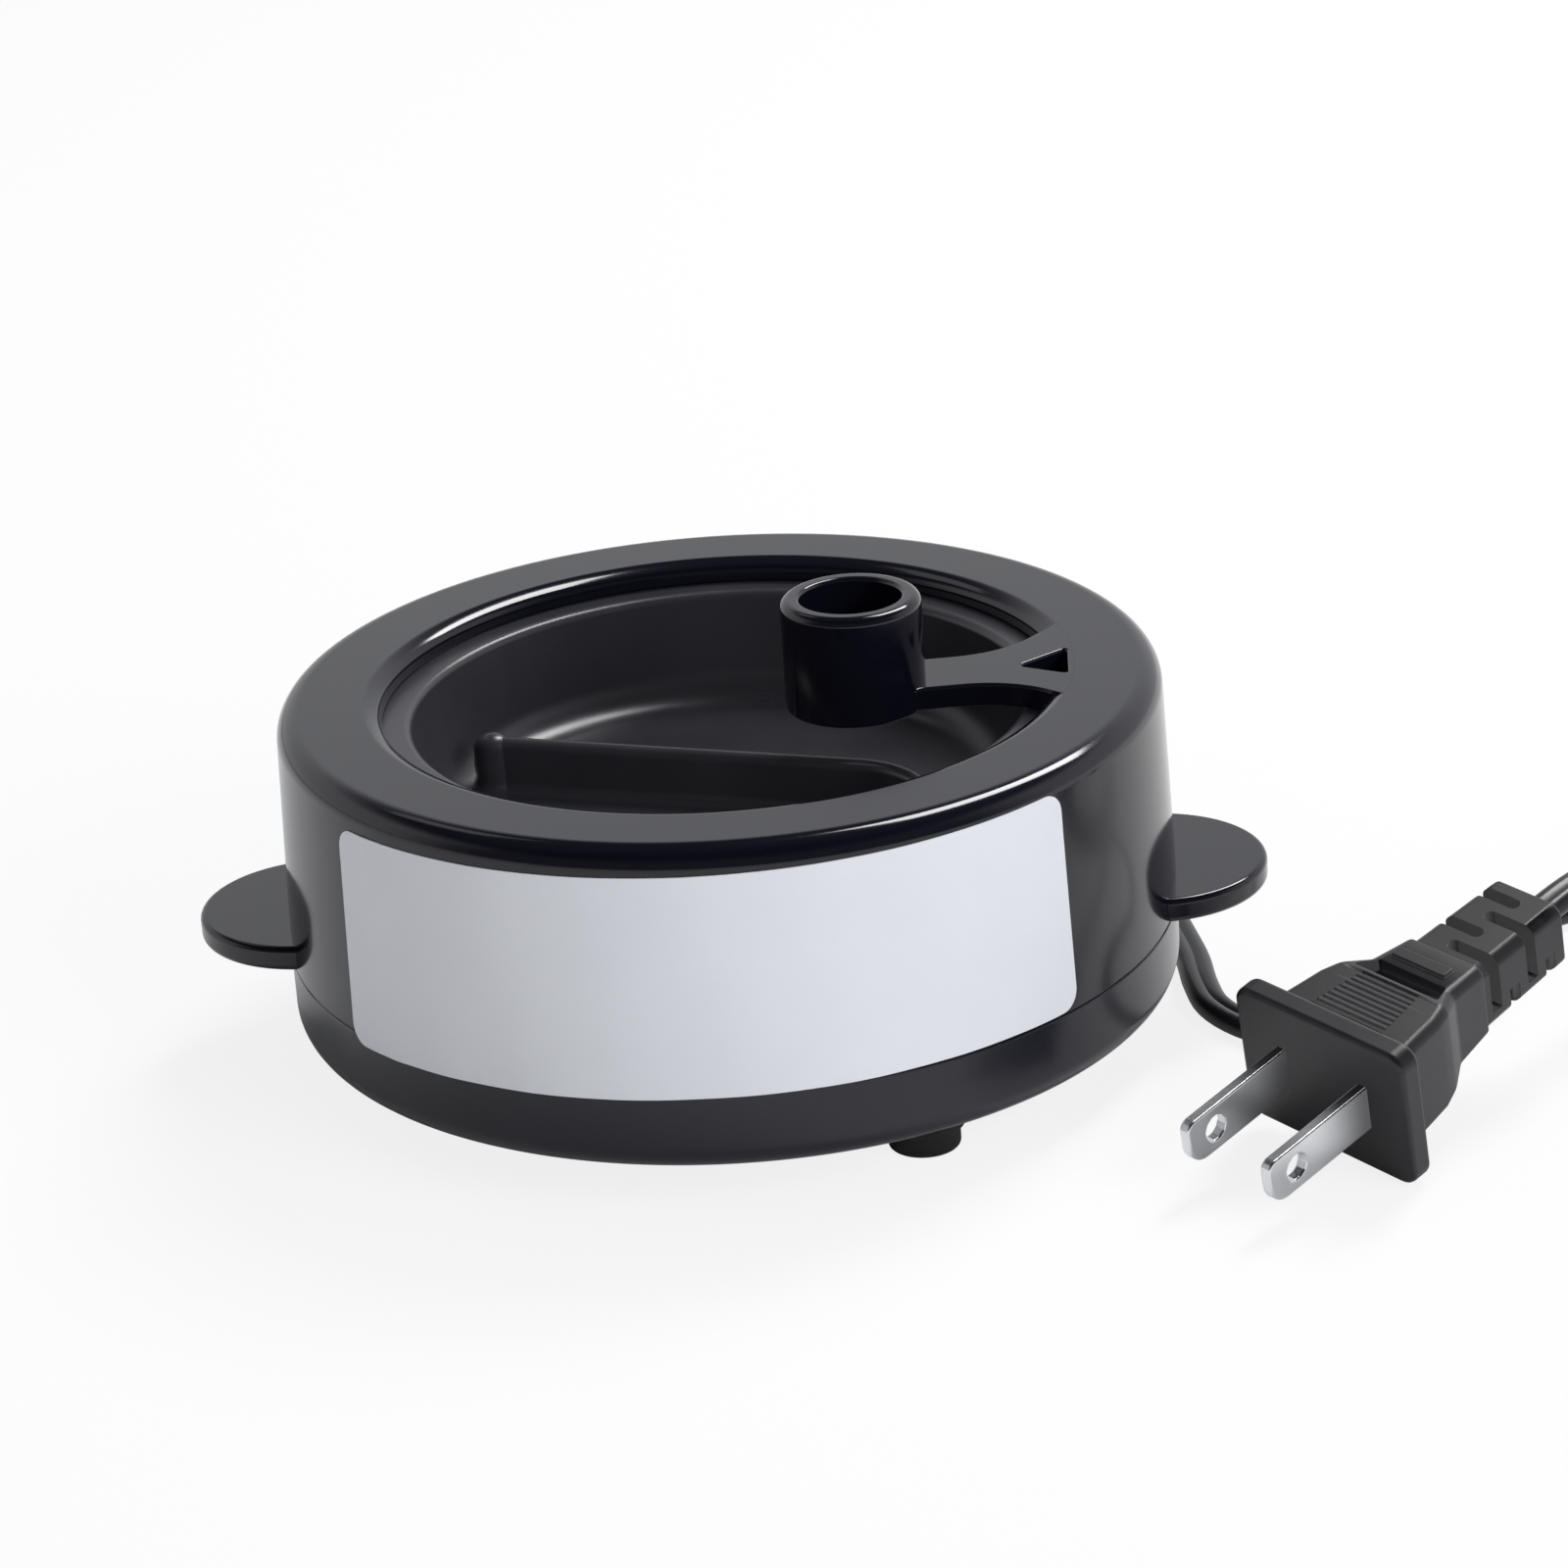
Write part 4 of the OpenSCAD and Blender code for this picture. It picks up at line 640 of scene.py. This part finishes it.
def plug():
    """Flange, grip with its grooves and inset, raised pad, slotted relief round its core, and the two blades."""
    place = plug_place()
    on_end = Matrix(((0, 0, 1, 0), (1, 0, 0, 0), (0, 1, 0, 0), (0, 0, 0, 1)))
    flange = settle(block("plug_flange", box_line(FLANGE_W, FLANGE_H, FLANGE_CORNER, 8), 0.0, FLANGE_T, FLANGE_EDGE,
                          place @ on_end), "plug_plastic", "plug_body")
    grip = loft("plug_grip", GRIP, GRIP_CORNER, place)
    cuts = []
    for k in range(GROOVES):
        line = box_line(GROOVE_W, GROOVE_L - GROOVE_TAPER * k, 0.2, 4, (GROOVE_X + GROOVE_PITCH * k, 0.0))
        cuts.append(block(f"groove_{k}", line, GROOVE_FLOOR, CLEAR_OF_GRIP, 0, place))
    cuts.append(block("inset", rounded(INSET, [0.3] * 4, 3), INSET_FLOOR, CLEAR_OF_GRIP, 0, place))
    grip = settle(cut(grip, cuts, "plug_grip"), "plug_plastic")
    pad = settle(block("plug_raised_pad", box_line(PAD_L, PAD_W, 0.4, 4, (PAD_X, PAD_Y)), PAD_LOW, PAD_TOP, 0.25,
                       place), "plug_plastic")
    sleeve = loft("plug_relief", TAIL, TAIL_CORNER, place)
    tools = []
    for k in range(SLOTS):
        x, side = SLOT_X + SLOT_PITCH * k, 1 if k % 2 else -1
        for name, way, (length, reach, low, high) in (("slot", side, SLOT_HIGH), ("slot_low", -side, SLOT_LOW)):
            line = box_line(SLOT_W, length, SLOT_ROUND, 5, (x, way * reach))
            tools.append(block(f"{name}_{k}", line, low, high, 0, place))
    sleeve = settle(cut(sleeve, tools, "plug_relief"), "plug_plastic")
    core = settle(block("plug_relief_core", box_line(CORE_L, CORE_W, 0.6, 3, (CORE_X, 0.0)), CORE_LOW, CORE_TOP, 0.4,
                        place), "plug_plastic")
    blades = []
    for side, node in ((1, "plug_blade_left"), (-1, "plug_blade_right")):
        skin = Skin()
        line = rounded([(-BLADE_L, -BLADE_W / 2), (BLADE_SINK, -BLADE_W / 2), (BLADE_SINK, BLADE_W / 2),
                        (-BLADE_L, BLADE_W / 2)], BLADE_CORNERS, 7)
        # The hole is a twelve-sided outline, whose corners stand 8 % out and are then rounded
        ring = [polar(BLADE_HOLE_R * 1.08, a, (-BLADE_L + BLADE_HOLE_BACK, 0)) for a in range(15, 375, 30)]
        plate(skin, line, [rounded(ring, [0.3] * 12, 2)], -BLADE_T / 2, BLADE_T / 2, BLADE_EDGE, 3)
        stand = place @ Matrix.Translation((0, side * BLADE_PITCH / 2, 0)) @ Matrix.Rotation(radians(90), 4, "X")
        blades.append(settle(skin.make("blade_left" if side > 0 else "blade_right", stand), "blade_steel", node))
    return [flange, grip, pad, sleeve, core] + blades


cord_piece, cord_line = lead()
relief_piece = relief()
tie_pieces = ties()
plug_pieces = plug()
# The photo's wall doesn't mirror the lead and the plug
for piece in [cord_piece] + plug_pieces:
    piece.visible_glossy = False


# --------------------------------------------------------------------- the housing

def soft_edge(start, arcs):
    """Section that leaves a flat top inwards and turns down by arcs: reach, height and normal of each point."""
    x, z = start
    line = [(x, z, 0.0, 1.0)]
    for low, high, radius in arcs:
        for k in range(8):
            a, b = radians(low + (high - low) * k / 8), radians(low + (high - low) * (k + 1) / 8)
            x, z = x - radius * (sin(b) - sin(a)), z - radius * (cos(a) - cos(b))
            line.append((x, z, -sin(b), cos(b)))
    return line


def housing():
    """Wall and ring, the two ears, the guide tube and its bracket."""
    skin = Skin()
    inner, turns, low = MOUTH_R + MOUTH_ROUND, RING_SEGMENTS, MOUTH_LOW_ROUND
    skin.lathe(profile([(SEAM_R, SEAM_Z), (RING_R, TOP_Z), (inner, TOP_Z), (inner, UNDER_RING_Z),
                        (RING_R - WALL_T, UNDER_RING_Z), (SEAM_R - WALL_T, SEAM_Z)],
                       [SEAM_ROUND, RING_ROUND, 0, 0, 1.0, 0.2], 12), segments=turns)
    # The ring's inner edge stops on both sides of the bracket, whose window reaches into it
    ways = [polar(1.0, 360.0 * k / turns) for k in range(BRACKET_FIRST, turns - BRACKET_LAST)]
    line = soft_edge((inner, TOP_Z), MOUTH_ARCS)
    line += [(MOUTH_R + low - low * cos(a), UNDER_RING_Z + low - low * sin(a), -cos(a), -sin(a))
             for a in np.linspace(0, pi / 2, 6)] + [(inner, UNDER_RING_Z, 0.0, -1.0)]
    edge = [(a[0], a[1], b[0], b[1], a[2:], b[2:]) for a, b in zip(line, line[1:])]
    skin.sweep([(0.0, 0.0)] * len(ways), ways, edge, closed=False)
    for (x, y), side in ((ways[0], 1), (ways[-1], -1)):
        rim = [(x * e[0], y * e[0], e[1]) for e in edge] + [(x * inner, y * inner, UNDER_RING_Z)]
        skin.face(rim[::side], [(side * y, -side * x, 0.0)] * len(rim))
    settle(skin.make("ring_and_wall"), "gloss_housing", "upper_housing")
    reach = SEAM_R - EAR_SINK
    half = degrees(acos((EAR_X ** 2 + reach ** 2 - EAR_R ** 2) / (2 * EAR_X * reach)))
    meet = polar(reach, half)
    start = degrees(atan2(meet[1], meet[0] - EAR_X))
    ear = [polar(EAR_R, start * (2 * k / 72 - 1), (EAR_X, 0)) for k in range(73)]
    ear += [polar(reach, half * (1 - 2 * k / 12)) for k in range(1, 12)]
    for turn, name in ((0, "ear_right"), (180, "ear_left")):
        skin = Skin()
        plate(skin, rounded(ear, [0] * len(ear)), [], SEAM_Z, SEAM_Z + EAR_T, EAR_ROUND, 7)
        settle(skin.make(name, Matrix.Rotation(radians(turn), 4, "Z")), "gloss_housing")
    skin = Skin()
    skin.lathe(profile([(BORE_R, TUBE_FOOT_Z), (TUBE_R, TUBE_FOOT_Z), (TUBE_R, TUBE_TOP_Z), (BORE_R, TUBE_TOP_Z)],
                       [0.3, 0.5, 1.2, 0.6], 8), segments=128)
    settle(skin.make("guide_tube", Matrix.Translation((TUBE_X, TUBE_Y, 0))), "gloss_housing")
    settle(bracket(), "gloss_housing")


def bracket():
    """Flat arm from the tube that flares into the ring round its three-cornered window."""
    turn = Matrix.Translation((TUBE_X, TUBE_Y, 0)) @ Matrix.Rotation(radians(BRACKET_TURN), 4, "Z")
    centre = turn.inverted() @ Vector((0, 0, 0))

    def ahead(p, angle, reach):
        """Where a line from p meets the circle of that reach round the pot's axis."""
        d = polar(1.0, angle)
        x, y = p[0] - centre.x, p[1] - centre.y
        b = x * d[0] + y * d[1]
        t = -b + sqrt(b * b - x * x - y * y + reach * reach)
        return (p[0] + d[0] * t, p[1] + d[1] * t)

    edge, fillet, half_w = BRACKET_EDGE, BRACKET_FILLET, BRACKET_W / 2
    # Its flat top laps the ring's by a hair, and its own rounded edge lies hidden inside the ring
    outer = MOUTH_R + MOUTH_ROUND + edge + BRACKET_LAP
    fx = sqrt((TUBE_R + fillet) ** 2 - (half_w + fillet) ** 2)
    sides = []
    for side in (-1, 1):
        line = [(BRACKET_START, side * half_w)]
        line += [(fx + fillet * cos(radians(a)), side * (half_w + fillet - fillet * sin(radians(a))))
                 for a in np.linspace(180 - degrees(atan2(half_w + fillet, fx)), 90, 7)]
        line += [(FLARE_X + FLARE_R * cos(radians(a)), side * (half_w + FLARE_R + FLARE_R * sin(radians(a))))
                 for a in np.linspace(-90, -90 + FLARE_END, 13)]
        line.append(ahead(line[-1], side * FLARE_END, outer))
        sides.append(line)
    low, high = sides
    a0 = degrees(atan2(low[-1][1] - centre.y, low[-1][0] - centre.x))
    a1 = degrees(atan2(high[-1][1] - centre.y, high[-1][0] - centre.x))
    arc = [polar(outer, a, (centre.x, centre.y)) for a in np.linspace(a0, a1, 15)[1:-1]]
    points = low + arc + high[::-1]
    tip = (WINDOW_TIP, 0.0)
    corner_low = ahead(tip, -WINDOW_ANGLE / 2, MOUTH_R + WINDOW_LAP)
    corner_high = ahead(tip, WINDOW_ANGLE / 2, MOUTH_R + WINDOW_LAP)
    window = rounded([tip, corner_low, corner_high], [0.7, 0.35, 0.35], 5)
    skin = Skin()
    plate(skin, rounded(points, [0] * len(points)), [window], UNDER_RING_Z, TOP_Z, edge, 5)
    return skin.make("guide_bracket", turn)


def base():
    """Lower housing with the spigot inside the seam, its screw seats and the port of the lead."""
    skin = Skin()
    lip_r, lip_z = SEAM_R - WALL_T - SPIGOT_GAP, SEAM_Z + SPIGOT_H
    skin.lathe(profile([(0, BASE_Z), (SEAM_R, BASE_Z), (SEAM_R, SEAM_Z), (lip_r, SEAM_Z), (lip_r, lip_z),
                        (lip_r - SPIGOT_T, lip_z), (lip_r - SPIGOT_T, BASE_Z + WALL_T), (0, BASE_Z + WALL_T)],
                       [0, BASE_ROUND, SEAM_ROUND, 0, 0.3, 0.3, 0.5, 0], 10), segments=RING_SEGMENTS)
    body = skin.make("base_shell")
    tools = []
    for angle in SCREW_ANGLES:
        at = polar(SCREW_CIRCLE_R, angle)
        seat = rounded([polar(SCREW_SEAT_R, a, at) for a in range(0, 360, 10)], [0] * 36)
        tools.append(block(f"seat_{angle}", seat, BASE_Z - 2, BASE_Z + SCREW_SEAT_H))
    tools.append(block("relief_port", rounded([polar(PORT_R, a) for a in range(0, 360, 12)], [0] * 30), 0, 30, 0,
                       Matrix.Translation((0, 40, RELIEF_Z)) @ Matrix.Rotation(radians(-90), 4, "X")))
    settle(cut(body, tools, "base_shell", 35), "satin_base", "lower_housing")


def feet():
    """Three stepped feet, placed by Geometry Nodes at their angles."""
    skin = Skin()
    skin.lathe(profile([(0, 0.0), (FOOT_R, 0.0), (FOOT_R, FOOT_STEP_Z), (FOOT_STEP_R, FOOT_STEP_Z),
                        (FOOT_STEP_R, BASE_Z + FOOT_LAP), (0, BASE_Z + FOOT_LAP)],
                       [0, 0.6, 0.25, 0.5, 0.1, 0], 5), segments=64)
    foot = skin.make("foot_shape", Matrix.Translation((FOOT_CIRCLE_R, 0, 0)))
    tree = bpy.data.node_groups.new("ring_of_copies", "GeometryNodeTree")
    for name, kind in (("Geometry", "NodeSocketGeometry"), ("Count", "NodeSocketInt"),
                       ("First Angle", "NodeSocketFloat"), ("Finish", "NodeSocketMaterial")):
        tree.interface.new_socket(name, in_out="INPUT", socket_type=kind)
    tree.interface.new_socket("Geometry", in_out="OUTPUT", socket_type="NodeSocketGeometry")
    given = add(tree, "NodeGroupInput")
    spots = add(tree, "GeometryNodePoints", {"Count": given.outputs["Count"]})
    number = add(tree, "GeometryNodeInputIndex")
    share = add(tree, "ShaderNodeMath", {0: 2 * pi, 1: given.outputs["Count"]}, operation="DIVIDE")
    turn = add(tree, "ShaderNodeMath", {0: number.outputs[0], 1: share.outputs[0], 2: given.outputs["First Angle"]},
               operation="MULTIPLY_ADD")
    way = add(tree, "ShaderNodeCombineXYZ", {"Z": turn.outputs[0]})
    copies = add(tree, "GeometryNodeInstanceOnPoints", {"Points": spots.outputs[0],
                                                        "Instance": given.outputs["Geometry"],
                                                        "Rotation": way.outputs[0]})
    real = add(tree, "GeometryNodeRealizeInstances", {"Geometry": copies.outputs[0]})
    painted = add(tree, "GeometryNodeSetMaterial", {"Geometry": real.outputs[0],
                                                    "Material": given.outputs["Finish"]})
    add(tree, "NodeGroupOutput", {"Geometry": painted.outputs[0]})
    modifier = foot.modifiers.new("copies", "NODES")
    modifier.node_group = tree
    values = {"Count": len(FOOT_ANGLES), "First Angle": radians(FOOT_ANGLES[0]), "Finish": RUBBER}
    for item in tree.interface.items_tree:
        if item.in_out == "INPUT" and item.name in values:
            modifier[item.identifier] = values[item.name]
    bpy.context.view_layer.update()
    settle(finished(foot, "feet"), "foot_rubber", "foot_front_right", "foot_rear_right", "foot_left")


def pan():
    """Bowl, slanting rib with its bent end, and the caps at both ends of the rib."""
    skin = Skin()
    flange_low = UNDER_RING_Z - PAN_FLANGE_T
    skin.lathe(profile([(0, PAN_UNDER_Z), (PAN_FLOOR_R + PAN_WALL_T, PAN_UNDER_Z),
                        (PAN_LIP_R + PAN_WALL_T, flange_low), (PAN_FLANGE_R, flange_low),
                        (PAN_FLANGE_R, UNDER_RING_Z), (PAN_LIP_R, UNDER_RING_Z),
                        (PAN_FLOOR_R, PAN_FLOOR_Z), (0, PAN_FLOOR_Z)],
                       [0, 4.0, 0.8, 0.4, 0.4, 1.2, 5.0, 0], 9), segments=224)
    settle(skin.make("pan_bowl"), "nonstick_pan", "glue_pan")
    turn = Matrix.Rotation(radians(RIB_TURN), 4, "Z") @ Matrix.Translation((0, 0, PAN_FLOOR_Z))
    foot, fillet = -RIB_SINK, RIB_FILLET

    def side(reach, height, dome):
        """Section from the floor's fillet up to the rounded top, for a lathe or a ridge."""
        wide = reach + 0.2 + fillet
        line = [(wide, foot), (wide, 0.0)]
        line += [(wide - fillet * sin(a), fillet - fillet * cos(a)) for a in np.linspace(0.25, pi / 2, 6)]
        line += [(reach * cos(a), height - dome + dome * sin(a)) for a in np.linspace(0, pi / 2, 8)]
        return line

    section = side(RIB_T / 2, RIB_H, RIB_T / 2)
    ridge = [(x, z) for x, z in section] + [(-x, z) for x, z in section[-2::-1]]
    path = [(-RIB_REACH + 1.0 + (RIB_BEND_X + RIB_REACH - 1.0) * k / 24, 0.0, 90.0) for k in range(25)]
    path += [polar(RIB_BEND_R, 90 - RIB_SWEEP * k / 14, (RIB_BEND_X, -RIB_BEND_R)) + (90 - RIB_SWEEP * k / 14,)
             for k in range(1, 15)]
    points = [(x + d * cos(radians(a)), y + d * sin(radians(a)), z) for x, y, a in path for d, z in ridge]
    m = len(ridge)
    faces = [(i * m + j, i * m + (j + 1) % m, (i + 1) * m + (j + 1) % m, (i + 1) * m + j)
             for i in range(len(path) - 1) for j in range(m)]
    faces += [tuple(range(m)), tuple((len(path) - 1) * m + j for j in range(m))]
    mesh = bpy.data.meshes.new("pan_rib")
    mesh.from_pydata([turn @ Vector(p) * MM for p in points], [], faces)
    rib = link("pan_rib", mesh)
    outwards(rib)
    mesh.shade_smooth()
    mesh.set_sharp_from_angle(angle=radians(40))
    settle(rib, "nonstick_pan")
    for name, at, reach, height, dome in (("pan_rib_bulb", (-RIB_REACH, 0), BULB_R, BULB_H, BULB_R * 0.8),
                                          ("pan_rib_end", path[-1][:2], RIB_T / 2, RIB_H, RIB_T / 2)):
        line = side(reach, height, dome)
        skin = Skin()
        points = [(0.0, foot)] + line
        skin.lathe(profile(points, [0] * len(points), 1), segments=48)
        cap = skin.make(name, turn @ Matrix.Translation((at[0], at[1], 0)))
        outwards(cap)
        cap.data.shade_smooth()
        settle(cap, "nonstick_pan")


def label():
    """Blank film wrapped on the wall, with round corners, a thickness and the faint waves of a hand-laid label."""
    corner = LABEL_CORNER
    half_w = radians(LABEL_HALF_ANGLE) * SEAM_R
    rows = [LABEL_H / 2 * sin(pi / 2 * v) for v in np.linspace(-1, 1, 45)]
    columns = 180
    skin = Skin()

    def at(s, h, lift):
        """Point of the film: s from -1 to 1 along it, h its height, lift 0 for the back and 1 for the face."""
        into_corner = max(0.0, abs(h) - (LABEL_H / 2 - corner))
        wide = half_w - max(0.0, corner - sqrt(max(0.0, corner ** 2 - into_corner ** 2)))
        s *= wide
        tilt = radians(LABEL_TILT)
        arc, z = s * cos(tilt) - h * sin(tilt), LABEL_Z + s * sin(tilt) + h * cos(tilt)
        angle = radians(LABEL_TURN) + arc / SEAM_R
        wave = 0.05 * sin(0.21 * arc + 1.3) * sin(0.16 * h + 0.4) + 0.03 * sin(0.47 * arc + 0.11 * h)
        crease = 0.12 * np.exp(-((arc + half_w * 0.86 + 0.15 * h) / 1.6) ** 2)
        wall_r = SEAM_R - (SEAM_R - RING_R) * max(0.0, z - SEAM_Z) / (TOP_Z - SEAM_Z)
        r = wall_r + LABEL_GAP + lift * (LABEL_T + LABEL_LIFT + wave + crease)
        return (r * cos(angle), r * sin(angle), z)

    grid = [[[at(2 * i / columns - 1, h, lift) for i in range(columns + 1)] for h in rows] for lift in (0, 1)]
    face = np.array(grid[1])
    normal = np.cross(np.gradient(face, axis=1), np.gradient(face, axis=0))
    normal /= np.linalg.norm(normal, axis=2)[:, :, None]
    for j in range(len(rows) - 1):
        for i in range(columns):
            ring = [(j, i), (j, i + 1), (j + 1, i + 1), (j + 1, i)]
            skin.face([grid[1][a][b] for a, b in ring], [normal[a][b] for a, b in ring])
            skin.face([grid[0][a][b] for a, b in ring[::-1]], [-normal[a][b] for a, b in ring[::-1]])
    border = [(0, i) for i in range(columns)] + [(j, columns) for j in range(len(rows) - 1)]
    border += [(len(rows) - 1, i) for i in range(columns, 0, -1)] + [(j, 0) for j in range(len(rows) - 1, 0, -1)]
    for (a, b), (c, d) in zip(border, border[1:] + border[:1]):
        side = [grid[0][a][b], grid[0][c][d], grid[1][c][d], grid[1][a][b]]
        n = (Vector(side[1]) - Vector(side[0])).cross(Vector(side[3]) - Vector(side[0])).normalized()
        skin.face(side, [n] * 4)
    settle(skin.make("blank_label"), "blank_label", "side_label")


housing()
base()
feet()
pan()
label()
# The CAD nodes that stay in view, such as the pieces inside, take the finish of their slot
for name, node in frame["nodes"].items():
    if not node.hide_render:
        slot_name = next(s["material_slot"] for s in frame["record"]["subparts"] if s["node"] == name)
        node.data.materials.clear()
        node.data.materials.append(SLOT_LOOKS[slot_name])


# -------------------------------------------------------------- floor, light, world

def stage():
    """Pale floor with a soft shadow: near white to the camera, and to gloss palest at the rear right."""
    mesh = bpy.data.meshes.new("floor")
    corners = [(x * FLOOR_HALF, y * FLOOR_HALF, 0.0) for x, y in ((-1, -1), (1, -1), (1, 1), (-1, 1))]
    mesh.from_pydata(corners, [], [(0, 1, 2, 3)])
    floor_piece = link("floor", mesh)
    made = bpy.data.materials.new("pale_floor")
    made.use_nodes = True
    tree = made.node_tree
    tree.nodes.clear()
    path = add(tree, "ShaderNodeLightPath")
    spot = add(tree, "ShaderNodeNewGeometry").outputs["Position"]
    part = add(tree, "ShaderNodeSeparateXYZ", {0: spot})
    reach = add(tree, "ShaderNodeVectorMath", {0: spot}, operation="LENGTH")
    around = add(tree, "ShaderNodeMapRange", {"Value": reach.outputs["Value"], "From Min": 0.09, "From Max": 0.22,
                                              "To Min": 0.0, "To Max": 0.14}, interpolation_type="SMOOTHSTEP")
    right = add(tree, "ShaderNodeMapRange", {"Value": part.outputs["X"], "From Min": 0.02, "From Max": 0.1,
                                             "To Min": 0.0, "To Max": 0.75}, interpolation_type="SMOOTHSTEP")
    rear = add(tree, "ShaderNodeMapRange", {"Value": part.outputs["Y"], "From Min": -0.06, "From Max": 0.03,
                                            "To Min": 0.0, "To Max": 1.0}, interpolation_type="SMOOTHSTEP")
    lift = add(tree, "ShaderNodeMath", {0: right.outputs[0], 1: rear.outputs[0], 2: around.outputs[0]},
               operation="MULTIPLY_ADD")
    mirror = add(tree, "ShaderNodeMath", {0: path.outputs["Is Glossy Ray"], 1: lift.outputs[0]},
                 operation="MULTIPLY")
    share = add(tree, "ShaderNodeMath", {0: path.outputs["Is Camera Ray"], 1: FLOOR_WHITE, 2: mirror.outputs[0]},
                operation="MULTIPLY_ADD")
    paint = add(tree, "ShaderNodeBsdfDiffuse", {"Color": (0.86, 0.86, 0.87, 1)})
    glow = add(tree, "ShaderNodeEmission", {"Color": (1, 1, 1, 1), "Strength": 1.0})
    both = add(tree, "ShaderNodeMixShader", {0: share.outputs[0], 1: paint.outputs[0], 2: glow.outputs[0]})
    add(tree, "ShaderNodeOutputMaterial", {"Surface": both.outputs[0]})
    mesh.materials.append(made)


def lamp(name, at, size, size_y, power, glossy=True):
    """White area light that points at the pot's middle, in metres and watts."""
    data = bpy.data.lights.new(name, "AREA")
    data.shape, data.size, data.size_y, data.energy = "RECTANGLE", size, size_y, power
    light = bpy.data.objects.new(name, data)
    light.matrix_world = (Matrix.Translation(at)
                          @ (Vector(LAMP_AIM) - Vector(at)).to_track_quat("-Z", "Y").to_matrix().to_4x4())
    light.visible_camera = False
    light.visible_glossy = glossy
    bpy.context.scene.collection.objects.link(light)


def world():
    """White for the camera, pale at the rear and dark overhead for gloss, and an even light for the rest."""
    made = bpy.data.worlds.new("studio")
    bpy.context.scene.world = made
    made.use_nodes = True
    tree = made.node_tree
    tree.nodes.clear()
    path = add(tree, "ShaderNodeLightPath")
    place = add(tree, "ShaderNodeTexCoord")
    part = add(tree, "ShaderNodeSeparateXYZ", {0: place.outputs["Generated"]})
    rise = add(tree, "ShaderNodeMapRange", {"Value": part.outputs["Z"], "From Min": 0.45, "From Max": 0.72,
                                            "To Min": 0.78, "To Max": 0.05}, interpolation_type="SMOOTHSTEP")
    rear = add(tree, "ShaderNodeMapRange", {"Value": part.outputs["Y"], "From Min": -0.5, "From Max": 0.1,
                                            "To Min": 0.12, "To Max": 1.0}, interpolation_type="SMOOTHSTEP")
    mirror = add(tree, "ShaderNodeMath", {0: rise.outputs[0], 1: rear.outputs[0]}, operation="MULTIPLY")
    seen = add(tree, "ShaderNodeMix", {0: path.outputs["Is Camera Ray"], 2: mirror.outputs[0], 3: 1.0})
    sharp = add(tree, "ShaderNodeMath", {0: path.outputs["Is Glossy Ray"], 1: path.outputs["Is Camera Ray"]},
                operation="MAXIMUM")
    level = add(tree, "ShaderNodeMix", {0: sharp.outputs[0], 2: 0.3, 3: seen.outputs[0]})
    sky = add(tree, "ShaderNodeBackground", {"Color": (0.96, 0.97, 1.0, 1), "Strength": level.outputs[0]})
    add(tree, "ShaderNodeOutputWorld", {"Surface": sky.outputs[0]})


stage()
world()
lamp("key_rear_right", (0.47, 0.58, 1.05), 0.37, 0.64, 11.5)
lamp("fill_rear_left", (-0.5, 0.62, 1.0), 0.3, 0.3, 0.2)
lamp("fill_front_right", (0.95, -0.8, 0.7), 0.8, 0.6, 10.4, glossy=False)
view = bpy.context.scene.view_settings
view.view_transform = "Standard"
